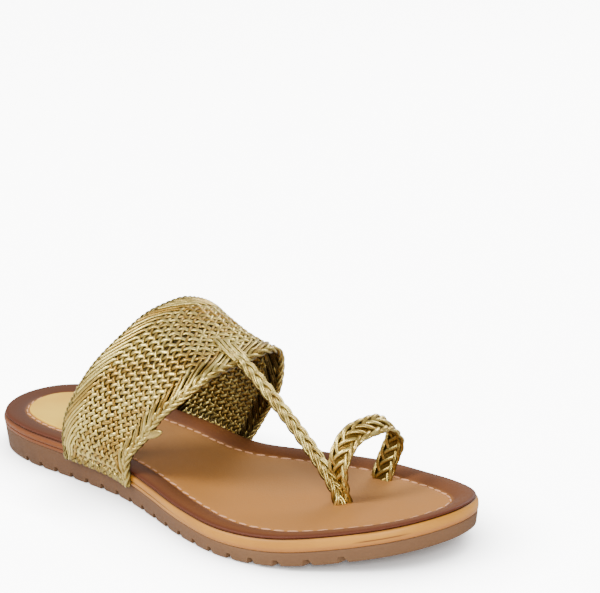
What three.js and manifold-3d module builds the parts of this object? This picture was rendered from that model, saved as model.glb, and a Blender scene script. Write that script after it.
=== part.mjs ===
// Kolhapuri sandal, right shoe: a layered flat sole with a woven band, a plaited strap and a toe loop.
// Millimetres. +X runs to the toe, +Y to the inner side of the foot, +Z up.
import * as THREE from "three";
import { mergeVertices } from "three/addons/utils/BufferGeometryUtils.js";
import Module from "manifold-3d";

const wasm = await Module();
wasm.setup();

// Sizes of the sole
const SOLE_LENGTH = 250;
const BALL_WIDTH = 90;
const WAIST_WIDTH = 57;
const HEEL_WIDTH = 60;
const TOE_SPRING = 8.3;
const SPRING_START = 0.697;
const OUTSOLE_HEEL = 10.1;
const OUTSOLE_WAIST = 8.7;
const OUTSOLE_BALL = 5.9;
const OUTSOLE_TOE = 5.2;
const OUTSOLE_EDGE = 1.1;
const MIDSOLE_HEEL = 4.7;
const MIDSOLE_TOE = 5.3;
const MIDSOLE_ROUND = 1.05;
const SEAM_GAP = 0.3;

// Sizes of the footbed and its patch
const FOOTBED_THICK = 2.4;
const RIM_WIDTH = 10;
const RIM_CROWN = 1.1;
const RIM_DROP = 0.6;
const PATCH_INSET = 11.2;
const PATCH_THICK = 0.7;
const PATCH_LENGTH = 70;

// Sizes of the grooves under the outsole
const GROOVE_COUNT = 19;
const GROOVE_FIRST = 38.8;
const GROOVE_PITCH = 10.4;
const GROOVE_MOUTH = 3;
const GROOVE_FLOOR = 1.2;
const GROOVE_DEPTH = 1.9;

// Sizes of the woven band
const BAND_RISE = 60;
const BAND_WALL = 2.2;
const BAND_CROWN = 1.2;
const ROOT_WALL = 1.4;
const STRIP_PITCH = 4.4;
const STRIP_RELIEF = 0.45;
const EDGE_BRAID = 0.9;
const WEAVE_HOLE = 0.42;
const TUCK_DEPTH = 5;
const TUCK_THICK = 1.2;

// Sizes of the strap and the toe loop
const STRAP_RADIUS = 3.3;
const PLAIT_PITCH = 8;
const PLAIT_RELIEF = 0.45;
const LOOP_WIDTH = 7.8;
const LOOP_THICK = 2.8;
const LOOP_SPAN = 23.5;
const LOOP_RISE = 28.5;

// The sole's outline from heel to toe: how far along, and how far out on each side as a share of a width
const OUTLINE = [
  { along: 0.01, outer: 0.093, inner: 0.275, width: HEEL_WIDTH },
  { along: 0.04, outer: 0.267, inner: 0.415, width: HEEL_WIDTH },
  { along: 0.08, outer: 0.378, inner: 0.49, width: HEEL_WIDTH },
  { along: 0.16, outer: 0.462, inner: 0.535, width: HEEL_WIDTH },
  { along: 0.28, outer: 0.502, inner: 0.512, width: WAIST_WIDTH },
  { along: 0.4, outer: 0.525, inner: 0.472, width: WAIST_WIDTH },
  { along: 0.46, outer: 0.572, inner: 0.432, width: WAIST_WIDTH },
  { along: 0.52, outer: 0.64, inner: 0.432, width: WAIST_WIDTH },
  { along: 0.62, outer: 0.478, inner: 0.383, width: BALL_WIDTH },
  { along: 0.72, outer: 0.513, inner: 0.478, width: BALL_WIDTH },
  { along: 0.82, outer: 0.467, inner: 0.466, width: BALL_WIDTH },
  { along: 0.9, outer: 0.333, inner: 0.41, width: BALL_WIDTH },
  { along: 0.96, outer: 0.186, inner: 0.32, width: BALL_WIDTH },
  { along: 0.988, outer: 0.06, inner: 0.229, width: BALL_WIDTH },
];
const HEEL_TIP = 0.087 * HEEL_WIDTH;
const TOE_TIP = 0.092 * BALL_WIDTH;

// Thickness of the layers along the sole
const LAYERS = [
  { along: 0, outsole: OUTSOLE_HEEL, midsole: MIDSOLE_HEEL },
  { along: 0.12, outsole: OUTSOLE_HEEL, midsole: MIDSOLE_HEEL },
  { along: 0.44, outsole: OUTSOLE_WAIST, midsole: 0.6 * MIDSOLE_HEEL + 0.4 * MIDSOLE_TOE },
  { along: 0.72, outsole: OUTSOLE_BALL, midsole: 0.3 * MIDSOLE_HEEL + 0.7 * MIDSOLE_TOE },
  { along: 1, outsole: OUTSOLE_TOE, midsole: MIDSOLE_TOE },
];

// The midsole's side, from its seam up: rise as a share of its thickness, inset as a share of its rounding
const MIDSOLE_SIDE = [
  { rise: 0, inset: 0.85 },
  { rise: 0.14, inset: 0.1 },
  { rise: 0.46, inset: 0 },
  { rise: 0.54, inset: 0.42 },
  { rise: 0.64, inset: 0.42 },
  { rise: 0.72, inset: 0.15 },
  { rise: 1, inset: 1 },
];

// The footbed lies in a shallow cup: inset from the outline as a share of the rim's width, sink as a share
// of the footbed's thickness, below the midsole's top edge
const CUP = [
  { inset: 0.12, sink: 0 },
  { inset: 0.32, sink: 0.5 },
  { inset: 0.6, sink: 1.15 },
];

// The footbed's top, from its outer edge in: inset as a share of the rim's width, lift as a share of the
// rim's crown
const RIM_TOP = [
  { inset: 0.105, lift: 0.3 },
  { inset: 0.17, lift: 0.85 },
  { inset: 0.32, lift: 1 },
  { inset: 0.6, lift: 0.5 },
];

// The band's rear and front edges from the outer root over the instep to the inner root: along the sole,
// across as a share of its half breadth there, and up as a share of the band's rise
const BAND = [
  { rearAlong: 0.274, rearAcross: -1, rearUp: 0, frontAlong: 0.454, frontAcross: -1, frontUp: 0 },
  { rearAlong: 0.279, rearAcross: -1.04, rearUp: 0.14, frontAlong: 0.468, frontAcross: -0.98, frontUp: 0.2 },
  { rearAlong: 0.293, rearAcross: -1.05, rearUp: 0.32, frontAlong: 0.5, frontAcross: -0.83, frontUp: 0.36 },
  { rearAlong: 0.315, rearAcross: -0.96, rearUp: 0.49, frontAlong: 0.538, frontAcross: -0.73, frontUp: 0.54 },
  { rearAlong: 0.34, rearAcross: -0.72, rearUp: 0.68, frontAlong: 0.578, frontAcross: -0.57, frontUp: 0.69 },
  { rearAlong: 0.363, rearAcross: -0.35, rearUp: 0.854, frontAlong: 0.6, frontAcross: -0.33, frontUp: 0.81 },
  { rearAlong: 0.374, rearAcross: 0, rearUp: 0.961, frontAlong: 0.598, frontAcross: -0.08, frontUp: 0.83 },
  { rearAlong: 0.384, rearAcross: 0.364, rearUp: 1.01, frontAlong: 0.592, frontAcross: 0.2, frontUp: 0.83 },
  { rearAlong: 0.392, rearAcross: 0.59, rearUp: 1.021, frontAlong: 0.59, frontAcross: 0.52, frontUp: 0.838 },
  { rearAlong: 0.375, rearAcross: 1.17, rearUp: 0.87, frontAlong: 0.576, frontAcross: 0.8, frontUp: 0.764 },
  { rearAlong: 0.325, rearAcross: 1.08, rearUp: 0.55, frontAlong: 0.553, frontAcross: 0.95, frontUp: 0.49 },
  { rearAlong: 0.282, rearAcross: 1.05, rearUp: 0.22, frontAlong: 0.508, frontAcross: 1.05, frontUp: 0.23 },
  { rearAlong: 0.258, rearAcross: 1, rearUp: 0, frontAlong: 0.468, frontAcross: 1, frontUp: 0 },
];

// The strap's middle line from the band's top down to the toes, in the same shares as the band
const STRAP = [
  { along: 0.512, across: 0.1, up: 0.945 },
  { along: 0.552, across: 0.11, up: 0.895 },
  { along: 0.594, across: 0.1, up: 0.83 },
  { along: 0.652, across: 0.08, up: 0.66 },
  { along: 0.712, across: 0.05, up: 0.46 },
  { along: 0.758, across: 0.03, up: 0.285 },
  { along: 0.786, across: 0.02, up: 0.13 },
];
const STRAP_FOOT = { along: 0.791, across: 0.01 };
const LOOP_PLACE = { along: 0.785, lean: 3, offset: 4.2 };

const lerp = THREE.MathUtils.lerp;
const smooth = THREE.MathUtils.smoothstep;

// A column of a table at any place along the sole, on a curve through its rows
function readTable(table, column, along) {
  const last = table.length - 1;
  const row = Math.max(0, table.findLastIndex((entry) => entry.along <= along));
  if (row >= last) return table[last][column];
  const slope = (k) => {
    const before = table[Math.max(0, k - 1)];
    const after = table[Math.min(last, k + 1)];
    return (after[column] - before[column]) / (after.along - before.along);
  };
  const [low, high] = [table[row], table[row + 1]];
  const span = high.along - low.along;
  const t = THREE.MathUtils.clamp((along - low.along) / span, 0, 1);
  const ease = t * t * (3 - 2 * t);
  const bend = t * (1 - t) * span * ((1 - t) * slope(row) - t * slope(row + 1));
  return lerp(low[column], high[column], ease) + bend;
}

// Heights of the layers at a length x
function groundHeight(x) {
  const start = SPRING_START * SOLE_LENGTH;
  return TOE_SPRING * Math.max(0, (x - start) / (SOLE_LENGTH - start)) ** 2;
}
const outsoleTop = (x) => groundHeight(x) + readTable(LAYERS, "outsole", x / SOLE_LENGTH);
const midsoleThick = (x) => readTable(LAYERS, "midsole", x / SOLE_LENGTH);
const midsoleEdge = (x) => outsoleTop(x) + midsoleThick(x);
const footbedTop = (x) => midsoleEdge(x) - RIM_DROP;
const footbedUnder = (x) => midsoleEdge(x) - CUP.at(-1).sink * FOOTBED_THICK + SEAM_GAP / 2;

// The outline: heel tip, outer side, toe tip, inner side, counterclockwise from above
function sidePoint(row, share, side) {
  return new THREE.Vector3(row.along * SOLE_LENGTH, side * share * row.width, 0);
}
const outlineCurve = new THREE.CatmullRomCurve3(
  [
    new THREE.Vector3(0, HEEL_TIP, 0),
    ...OUTLINE.map((row) => sidePoint(row, row.outer, -1)),
    new THREE.Vector3(SOLE_LENGTH, TOE_TIP, 0),
    ...OUTLINE.toReversed().map((row) => sidePoint(row, row.inner, 1)),
  ],
  true,
  "centripetal",
);
const SPAN_STEPS = 2;
const HALF_RING = (OUTLINE.length + 1) * SPAN_STEPS;
const RING = 2 * HALF_RING;

// How far out the sole's edge is on one side, -1 outer or 1 inner, at a length x
const EDGE_SAMPLES = 400;
const edgeLines = { outer: [], inner: [] };
for (let k = 0; k <= EDGE_SAMPLES; k++) {
  edgeLines.outer.push(outlineCurve.getPoint((0.5 * k) / EDGE_SAMPLES));
  edgeLines.inner.push(outlineCurve.getPoint(1 - (0.5 * k) / EDGE_SAMPLES));
}
function edgeAt(x, side) {
  const line = side < 0 ? edgeLines.outer : edgeLines.inner;
  const next = Math.max(1, line.findIndex((point) => point.x >= x));
  const [a, b] = [line[next - 1], line[next]];
  return lerp(a.y, b.y, THREE.MathUtils.clamp((x - a.x) / (b.x - a.x), 0, 1));
}

// A ring of points along the outline, moved in by an inset, at the height that a function of x gives
function ring(inset, height) {
  return Array.from({ length: RING }, (_, k) => {
    const point = outlineCurve.getPoint(k / RING);
    const along = outlineCurve.getTangent(k / RING);
    point.add(new THREE.Vector3(-along.y, along.x, 0).multiplyScalar(inset));
    point.z = height(point.x);
    return point;
  });
}

// Builds a closed solid from triangles of points
function solidOf(triangles) {
  const positions = triangles.flat().flatMap((point) => [point.x, point.y, point.z]);
  const loose = new THREE.BufferGeometry();
  loose.setAttribute("position", new THREE.Float32BufferAttribute(positions, 3));
  return toSolid(loose);
}
function toSolid(geometry) {
  const bare = new THREE.BufferGeometry();
  bare.setAttribute("position", geometry.getAttribute("position"));
  bare.setIndex(geometry.getIndex());
  const merged = mergeVertices(bare, 1e-4);
  const vertProperties = new Float32Array(merged.getAttribute("position").array);
  const triVerts = new Uint32Array(merged.getIndex().array);
  return new wasm.Manifold(new wasm.Mesh({ numProp: 3, vertProperties, triVerts }));
}
function toGeometry(solid) {
  const mesh = solid.getMesh();
  const geometry = new THREE.BufferGeometry();
  geometry.setAttribute("position", new THREE.BufferAttribute(new Float32Array(mesh.vertProperties), 3));
  geometry.setIndex(new THREE.BufferAttribute(new Uint32Array(mesh.triVerts), 1));
  geometry.computeVertexNormals();
  return geometry;
}
const quad = (a, b, c, d) => [[a, b, c], [a, c, d]];

// A slab between rings, listed from its underside up to its top, closed across from side to side
function slab(rings) {
  const triangles = [];
  for (let r = 0; r + 1 < rings.length; r++) {
    for (let k = 0; k < RING; k++) {
      const next = (k + 1) % RING;
      triangles.push(...quad(rings[r][k], rings[r][next], rings[r + 1][next], rings[r + 1][k]));
    }
  }
  const cap = (points) => {
    const faces = [[points[0], points[1], points[RING - 1]]];
    for (let k = 1; k < HALF_RING - 1; k++) {
      faces.push(...quad(points[k], points[k + 1], points[RING - k - 1], points[RING - k]));
    }
    faces.push([points[HALF_RING - 1], points[HALF_RING], points[HALF_RING + 1]]);
    return faces;
  };
  triangles.push(...cap(rings.at(-1)), ...cap(rings[0]).map(([a, b, c]) => [a, c, b]));
  return solidOf(triangles);
}

// A groove across the whole sole, wider at its mouth, square to the ground line where it lies
function groove(x) {
  const outline = new THREE.Shape([
    new THREE.Vector2(-GROOVE_MOUTH / 2, -1),
    new THREE.Vector2(GROOVE_MOUTH / 2, -1),
    new THREE.Vector2(GROOVE_MOUTH / 2, 0),
    new THREE.Vector2(GROOVE_FLOOR / 2, GROOVE_DEPTH),
    new THREE.Vector2(-GROOVE_FLOOR / 2, GROOVE_DEPTH),
    new THREE.Vector2(-GROOVE_MOUTH / 2, 0),
  ]);
  const prism = new THREE.ExtrudeGeometry(outline, { depth: 2 * BALL_WIDTH, bevelEnabled: false });
  prism.translate(0, 0, -BALL_WIDTH);
  prism.rotateX(Math.PI / 2);
  prism.rotateY(-Math.atan(groundHeight(x + 0.5) - groundHeight(x - 0.5)));
  prism.translate(x, 0, groundHeight(x));
  return toSolid(prism);
}

function makeOutsole() {
  const body = slab([
    ring(1.5 * OUTSOLE_EDGE, groundHeight),
    ring(OUTSOLE_EDGE, (x) => groundHeight(x) + 0.5 * OUTSOLE_EDGE),
    ring(0.3 * OUTSOLE_EDGE, (x) => outsoleTop(x) - 0.5 * OUTSOLE_EDGE),
    ring(0.55 * OUTSOLE_EDGE, (x) => outsoleTop(x) - SEAM_GAP / 2),
  ]);
  return Array.from({ length: GROOVE_COUNT }, (_, k) => groove(GROOVE_FIRST + k * GROOVE_PITCH)).reduce(
    (rest, cut) => rest.subtract(cut),
    body,
  );
}

function makeMidsole(pockets) {
  const side = MIDSOLE_SIDE.map(({ rise, inset }) =>
    ring(inset * MIDSOLE_ROUND, (x) => {
      const seam = SEAM_GAP * (0.5 - rise);
      return outsoleTop(x) + rise * midsoleThick(x) + seam;
    }),
  );
  const cup = CUP.slice(1).map(({ inset, sink }) =>
    ring(inset * RIM_WIDTH, (x) => midsoleEdge(x) - sink * FOOTBED_THICK - SEAM_GAP / 2),
  );
  return slab([...side, ...cup]).subtract(pockets);
}

function makeFootbed(slits) {
  const under = CUP.toReversed().map(({ inset, sink }) =>
    ring(inset * RIM_WIDTH, (x) => midsoleEdge(x) - sink * FOOTBED_THICK + SEAM_GAP / 2),
  );
  const top = RIM_TOP.map(({ inset, lift }) =>
    ring(inset * RIM_WIDTH, (x) => midsoleEdge(x) + lift * RIM_CROWN),
  );
  return slab([...under, ...top, ring(RIM_WIDTH, footbedTop)]).subtract(slits);
}

function makePatch() {
  const body = slab([
    ring(PATCH_INSET, (x) => footbedTop(x) + SEAM_GAP),
    ring(PATCH_INSET, (x) => footbedTop(x) + SEAM_GAP + PATCH_THICK),
  ]);
  const reach = new THREE.BoxGeometry(PATCH_LENGTH, 2 * HEEL_WIDTH, 2 * BAND_RISE);
  reach.translate(PATCH_LENGTH / 2, 0, 0);
  return body.intersect(toSolid(reach));
}

// A place given in shares: along the sole, across its half breadth and up the band's rise
function placeAt(along, across, up, stand) {
  const x = along * SOLE_LENGTH;
  const [outer, inner] = [edgeAt(x, -1), edgeAt(x, 1)];
  const y = (outer + inner) / 2 + across * ((inner - outer) / 2 + stand);
  return new THREE.Vector3(x, y, outsoleTop(x) + SEAM_GAP / 2 + up * BAND_RISE);
}

// The band's edges as curves, in shares stretched to about their real size so that steps come out even
const HALF_WAIST = WAIST_WIDTH / 2;
const edgeCurve = (edge) =>
  new THREE.CatmullRomCurve3(
    BAND.map(
      (row) =>
        new THREE.Vector3(
          row[`${edge}Along`] * SOLE_LENGTH,
          row[`${edge}Across`] * HALF_WAIST,
          row[`${edge}Up`] * BAND_RISE,
        ),
    ),
    false,
    "centripetal",
  );
const rearCurve = edgeCurve("rear");
const frontCurve = edgeCurve("front");
const BAND_LENGTH = (rearCurve.getLength() + frontCurve.getLength()) / 2;
const BAND_WIDTH = rearCurve.getPointAt(0.5).distanceTo(frontCurve.getPointAt(0.5));

// The weave fades out where the strips are pressed flat at the roots
const ROOT_FLAT = 7;
const ROOT_FADE = 15;
function fullness(turn) {
  return smooth(Math.min(turn, 1 - turn) * BAND_LENGTH, ROOT_FLAT, ROOT_FADE);
}
const wallAt = (turn) => lerp(ROOT_WALL, BAND_WALL, fullness(turn));

// The middle of the band's wall before its crown, at a turn over the instep and a share of its width
function bandMiddle(turn, width) {
  const spot = rearCurve.getPointAt(turn).lerp(frontCurve.getPointAt(turn), width);
  const stand = SEAM_GAP + wallAt(turn) / 2;
  return placeAt(spot.x / SOLE_LENGTH, spot.y / HALF_WAIST, spot.z / BAND_RISE, stand);
}
const NUDGE = 0.004;
function bandNormal(turn, width) {
  const [t0, t1] = [Math.max(0, turn - NUDGE), Math.min(1, turn + NUDGE)];
  const over = bandMiddle(t1, width).sub(bandMiddle(t0, width));
  const [w0, w1] = [Math.max(0, width - NUDGE), Math.min(1, width + NUDGE)];
  const forward = bandMiddle(turn, w1).sub(bandMiddle(turn, w0));
  return forward.cross(over).normalize();
}
function bandPoint(turn, width, offset) {
  const crown = BAND_CROWN * 4 * width * (1 - width) * fullness(turn);
  return bandMiddle(turn, width).addScaledVector(bandNormal(turn, width), offset + crown);
}

// The weave's grid: strips cross where the column and row add up to an even number, and gaps lie between
const CELL = STRIP_PITCH / Math.SQRT2;
const evenCount = (length) => 2 * Math.max(3, Math.round(length / CELL / 2));
const COLUMNS = evenCount(BAND_LENGTH);
const ROWS = evenCount(BAND_WIDTH);
const BORDER_ROWS = 4;
const isCrossing = (column, row) => (column + row) % 2 === 0;
function isHole(column, row) {
  const inField = row > BORDER_ROWS && row < ROWS - BORDER_ROWS;
  const clearOfRoots = fullness(column / COLUMNS) > 0.5;
  return inField && clearOfRoots && !isCrossing(column, row) && row % 2 === 1;
}

// Between the borders strips cross; in the borders they run side by side and lean towards the edge
function leansForward(column, row) {
  if (row < BORDER_ROWS) return true;
  return row < ROWS - BORDER_ROWS && isCrossing(column, row);
}
function relief(column, row) {
  const fromEdge = Math.min(row, ROWS - row);
  if (fromEdge === 0) return -0.4 * STRIP_RELIEF;
  if (fromEdge === 1) return column % 2 === 0 ? EDGE_BRAID : 0.5 * EDGE_BRAID;
  return isCrossing(column, row) ? STRIP_RELIEF : -STRIP_RELIEF;
}

function makeBandWall() {
  const facePoint = (column, row, face) => {
    const turn = column / COLUMNS;
    return bandPoint(turn, row / ROWS, face * (wallAt(turn) / 2 + fullness(turn) * relief(column, row)));
  };
  const faces = [1, -1].map((face) =>
    Array.from({ length: COLUMNS + 1 }, (_, column) =>
      Array.from({ length: ROWS + 1 }, (__, row) => facePoint(column, row, face)),
    ),
  );
  const at = (side, [column, row]) => faces[side][column][row];
  const inward = (side, hole, corner) => at(side, hole).clone().lerp(at(side, corner), WEAVE_HOLE);
  const triangles = [];

  // One triangle of the grid on both faces, or what is left of it beside a gap
  const weaveTriangle = (a, b, c) => {
    const corners = [a, b, c];
    const spot = corners.findIndex(([column, row]) => isHole(column, row));
    if (spot < 0) {
      triangles.push([at(0, a), at(0, b), at(0, c)], [at(1, a), at(1, c), at(1, b)]);
      return;
    }
    const [hole, next, last] = [0, 1, 2].map((step) => corners[(spot + step) % 3]);
    const lips = [0, 1].map((side) => [inward(side, hole, next), inward(side, hole, last)]);
    triangles.push(...quad(at(0, next), at(0, last), lips[0][1], lips[0][0]));
    triangles.push(...quad(at(1, next), lips[1][0], lips[1][1], at(1, last)));
    triangles.push(...quad(lips[0][0], lips[0][1], lips[1][1], lips[1][0]));
  };

  for (let column = 0; column < COLUMNS; column++) {
    for (let row = 0; row < ROWS; row++) {
      const a = [column, row];
      const b = [column, row + 1];
      const c = [column + 1, row + 1];
      const d = [column + 1, row];
      if (leansForward(column, row)) {
        weaveTriangle(a, b, c);
        weaveTriangle(a, c, d);
      } else {
        weaveTriangle(a, b, d);
        weaveTriangle(b, c, d);
      }
    }
  }
  for (let column = 0; column < COLUMNS; column++) {
    const [rear, rearNext] = [[column, 0], [column + 1, 0]];
    const [front, frontNext] = [[column, ROWS], [column + 1, ROWS]];
    triangles.push(...quad(at(0, rear), at(0, rearNext), at(1, rearNext), at(1, rear)));
    triangles.push(...quad(at(0, frontNext), at(0, front), at(1, front), at(1, frontNext)));
  }
  for (let row = 0; row < ROWS; row++) {
    const [outer, outerNext] = [[0, row], [0, row + 1]];
    const [inner, innerNext] = [[COLUMNS, row], [COLUMNS, row + 1]];
    triangles.push(...quad(at(0, outerNext), at(0, outer), at(1, outer), at(1, outerNext)));
    triangles.push(...quad(at(0, inner), at(0, innerNext), at(1, innerNext), at(1, inner)));
  }
  return solidOf(triangles);
}

// A flat tongue along the sole's edge under the band: a section from outside the midsole into its seam
const TUCK_STEPS = 6;
function tuck(side, grow) {
  const row = side < 0 ? BAND[0] : BAND.at(-1);
  const start = row.rearAlong * SOLE_LENGTH - grow;
  const end = row.frontAlong * SOLE_LENGTH + grow;
  const reach = grow > 0 ? 3 * ROOT_WALL : SEAM_GAP + ROOT_WALL;
  const stations = Array.from({ length: TUCK_STEPS + 1 }, (_, k) => {
    const x = lerp(start, end, k / TUCK_STEPS);
    const edge = edgeAt(x, side);
    const base = outsoleTop(x) + SEAM_GAP / 2;
    const [low, high] = [base - 2 * grow, base + TUCK_THICK + grow];
    const [out, inside] = [edge + side * reach, edge - side * (TUCK_DEPTH + grow)];
    const section = [[out, low], [out, high], [inside, high], [inside, low]];
    const points = section.map(([y, z]) => new THREE.Vector3(x, y, z));
    return side > 0 ? points : points.toReversed();
  });
  const triangles = [];
  for (let k = 0; k < TUCK_STEPS; k++) {
    for (let c = 0; c < 4; c++) {
      const next = (c + 1) % 4;
      triangles.push(...quad(stations[k][c], stations[k][next], stations[k + 1][next], stations[k + 1][c]));
    }
  }
  triangles.push(...quad(...stations[0].toReversed()), ...quad(...stations.at(-1)));
  return solidOf(triangles);
}

// A plait along a curve: an oval section, wide along its sideways direction, whose lobes swell in turn
const PLAIT_SIDES = 8;
function plait(curve, sideways, halfWide, halfThick, grow) {
  const length = curve.getLength();
  const steps = 4 * Math.round(length / PLAIT_PITCH);
  const sections = Array.from({ length: steps + 1 }, (_, k) => {
    const centre = curve.getPointAt(k / steps);
    const forward = curve.getTangentAt(k / steps);
    const wide = sideways.clone().addScaledVector(forward, -sideways.dot(forward)).normalize();
    const thick = new THREE.Vector3().crossVectors(forward, wide);
    return Array.from({ length: PLAIT_SIDES }, (__, c) => {
      const angle = (2 * Math.PI * c) / PLAIT_SIDES;
      const lobe = grow > 0 ? PLAIT_RELIEF : PLAIT_RELIEF * Math.sin((Math.PI * k) / 2 + Math.PI * c);
      return centre
        .clone()
        .addScaledVector(wide, Math.cos(angle) * (halfWide + grow + lobe / 2))
        .addScaledVector(thick, Math.sin(angle) * (halfThick + grow + lobe / 2));
    });
  });
  const triangles = [];
  for (let k = 0; k < steps; k++) {
    for (let c = 0; c < PLAIT_SIDES; c++) {
      const next = (c + 1) % PLAIT_SIDES;
      triangles.push(...quad(sections[k][c], sections[k][next], sections[k + 1][next], sections[k + 1][c]));
    }
  }
  for (let c = 1; c + 1 < PLAIT_SIDES; c++) {
    triangles.push([sections[0][0], sections[0][c + 1], sections[0][c]]);
    triangles.push([sections[steps][0], sections[steps][c], sections[steps][c + 1]]);
  }
  return solidOf(triangles);
}

// The feet of the strap and the loop stand in slits of the footbed, and are cut off level with its underside
const SLIT_REACH = 3;
function strap(grow) {
  const foot = placeAt(STRAP_FOOT.along, STRAP_FOOT.across, 0, 0);
  foot.z = footbedUnder(foot.x) - SLIT_REACH;
  const points = STRAP.map(({ along, across, up }) => placeAt(along, across, up, 0));
  const curve = new THREE.CatmullRomCurve3([...points, foot], false, "centripetal");
  return plait(curve, new THREE.Vector3(0, 1, 0), STRAP_RADIUS, STRAP_RADIUS, grow);
}
function toeLoop(grow) {
  const x = LOOP_PLACE.along * SOLE_LENGTH;
  const start = placeAt(STRAP_FOOT.along, STRAP_FOOT.across, 0, 0).y + LOOP_PLACE.offset;
  const span = LOOP_SPAN + LOOP_THICK;
  const low = footbedUnder(x) - SLIT_REACH;
  const top = footbedTop(x) + LOOP_RISE - LOOP_THICK / 2;
  const lift = top - footbedTop(x);
  const place = (share, z, lean) => new THREE.Vector3(x + lean * LOOP_PLACE.lean, start + share * span, z);
  const curve = new THREE.CatmullRomCurve3(
    [
      place(0, low, 0),
      place(-0.08, footbedTop(x) + 0.25 * lift, 0),
      place(-0.1, footbedTop(x) + 0.62 * lift, 0.2),
      place(0.12, footbedTop(x) + 0.93 * lift, 0.5),
      place(0.5, top, 0.8),
      place(0.82, footbedTop(x) + 0.93 * lift, 0.3),
      place(1.01, footbedTop(x) + 0.66 * lift, -0.2),
      place(1.04, footbedTop(x) + 0.28 * lift, -0.7),
      place(1, low, -1),
    ],
    false,
    "centripetal",
  );
  return plait(curve, new THREE.Vector3(1, 0, 0), LOOP_WIDTH / 2, LOOP_THICK / 2, grow);
}

function makeUpper() {
  const underFootbed = slab([
    ring(RIM_WIDTH, (x) => footbedUnder(x) - 3 * SLIT_REACH),
    ring(RIM_WIDTH, footbedUnder),
  ]);
  const straps = strap(0).add(toeLoop(0)).subtract(underFootbed);
  return [makeBandWall(), tuck(-1, 0), tuck(1, 0)].reduce((whole, piece) => whole.add(piece), straps);
}

const pockets = tuck(-1, SEAM_GAP).add(tuck(1, SEAM_GAP));
const slits = strap(SEAM_GAP).add(toeLoop(SEAM_GAP));

function finish(color, roughness, metalness) {
  return new THREE.MeshStandardMaterial({ color, roughness, metalness });
}
const pieces = [
  ["outsole", makeOutsole(), finish(0x93705a, 0.8, 0)],
  ["midsole", makeMidsole(pockets), finish(0xcf9c60, 0.45, 0)],
  ["footbed", makeFootbed(slits), finish(0xa9764a, 0.5, 0)],
  ["heel_patch", makePatch(), finish(0xe8d291, 0.6, 0)],
  ["upper", makeUpper(), finish(0xb8934f, 0.35, 0.8)],
];

const sandal = new THREE.Group();
for (const [name, solid, material] of pieces) {
  const mesh = new THREE.Mesh(toGeometry(solid), material);
  mesh.name = name;
  sandal.add(mesh);
}

// The origin is at the middle of the sandal's bounding box, on the ground
const box = new THREE.Box3().setFromObject(sandal);
const middle = box.getCenter(new THREE.Vector3());
sandal.position.set(-middle.x, -middle.y, -box.min.z);
sandal.updateMatrixWorld(true);

export default sandal;
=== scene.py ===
"""Kolhapuri sandal, right shoe: leather, rubber and the woven upper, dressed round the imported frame.

Lengths are in millimetres along the last, with the heel at x = 0, until a mesh is made in metres.
"""

from __future__ import annotations

import logging
import math
import random
from dataclasses import dataclass, field
from enum import Enum
from typing import Callable, Sequence

import bmesh
import bpy
import numpy as np
from mathutils import Matrix, Vector

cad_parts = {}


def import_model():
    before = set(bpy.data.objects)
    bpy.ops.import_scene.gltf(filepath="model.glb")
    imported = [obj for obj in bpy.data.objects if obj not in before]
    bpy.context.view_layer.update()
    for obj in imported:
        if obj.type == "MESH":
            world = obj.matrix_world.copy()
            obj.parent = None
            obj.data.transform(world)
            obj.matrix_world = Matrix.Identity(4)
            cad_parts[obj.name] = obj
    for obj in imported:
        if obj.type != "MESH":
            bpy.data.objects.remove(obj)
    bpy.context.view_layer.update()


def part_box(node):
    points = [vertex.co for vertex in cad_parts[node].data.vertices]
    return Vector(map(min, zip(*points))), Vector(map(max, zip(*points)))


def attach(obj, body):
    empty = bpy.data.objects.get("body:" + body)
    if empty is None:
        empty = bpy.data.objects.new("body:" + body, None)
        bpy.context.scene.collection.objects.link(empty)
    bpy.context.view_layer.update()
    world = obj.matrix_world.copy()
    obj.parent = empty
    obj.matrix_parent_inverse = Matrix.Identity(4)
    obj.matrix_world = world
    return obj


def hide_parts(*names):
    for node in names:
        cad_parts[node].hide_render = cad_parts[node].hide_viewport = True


LOG = logging.getLogger("sandal")
MM = 0.001
BODY = "root"
MERGE_DISTANCE = 0.00002
SMOOTH_ANGLE = math.radians(38)
# Shares by which a form's first and last rings are drawn together, to close it along its middle
DRAWN_OUT = (1.0, 0.5, 0.0)
DRAWN_IN = (0.0, 0.5, 1.0)
Colour = tuple[float, float, float]
Height = Callable[[np.ndarray], np.ndarray]


class Side(Enum):
    """The two sides of the sandal, by the sign of y."""

    OUTER = -1
    INNER = 1


class Slot(Enum):
    """The record's material slots."""

    RUBBER = "outsole_rubber"
    HONEY = "honey_edge"
    TAN = "tan_leather"
    PALE = "pale_leather"
    GOLD = "gold_leather"


def tint(code: str) -> Colour:
    """Turns a hex colour such as a08060 into linear red, green and blue."""
    shares = [int(code[k : k + 2], 16) / 255 for k in (0, 2, 4)]
    red, green, blue = [s / 12.92 if s <= 0.04045 else ((s + 0.055) / 1.055) ** 2.4 for s in shares]
    return red, green, blue


def smooth_step(value: np.ndarray | float, low: float, high: float) -> np.ndarray:
    """Rises smoothly from 0 at low to 1 at high."""
    share = np.clip((np.asarray(value, float) - low) / (high - low), 0, 1)
    return share * share * (3 - 2 * share)


def mix(low: np.ndarray | float, high: np.ndarray | float, share: np.ndarray | float) -> np.ndarray:
    """Goes from low to high by a share."""
    return low + (np.asarray(high) - low) * share


def raised(base: Height, lift: float) -> Height:
    """Gives the height function that lies above another by a lift."""
    return lambda x: base(x) + lift


def unit(vectors: np.ndarray) -> np.ndarray:
    """Scales each row to length one."""
    return vectors / np.linalg.norm(vectors, axis=-1, keepdims=True)


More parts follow.
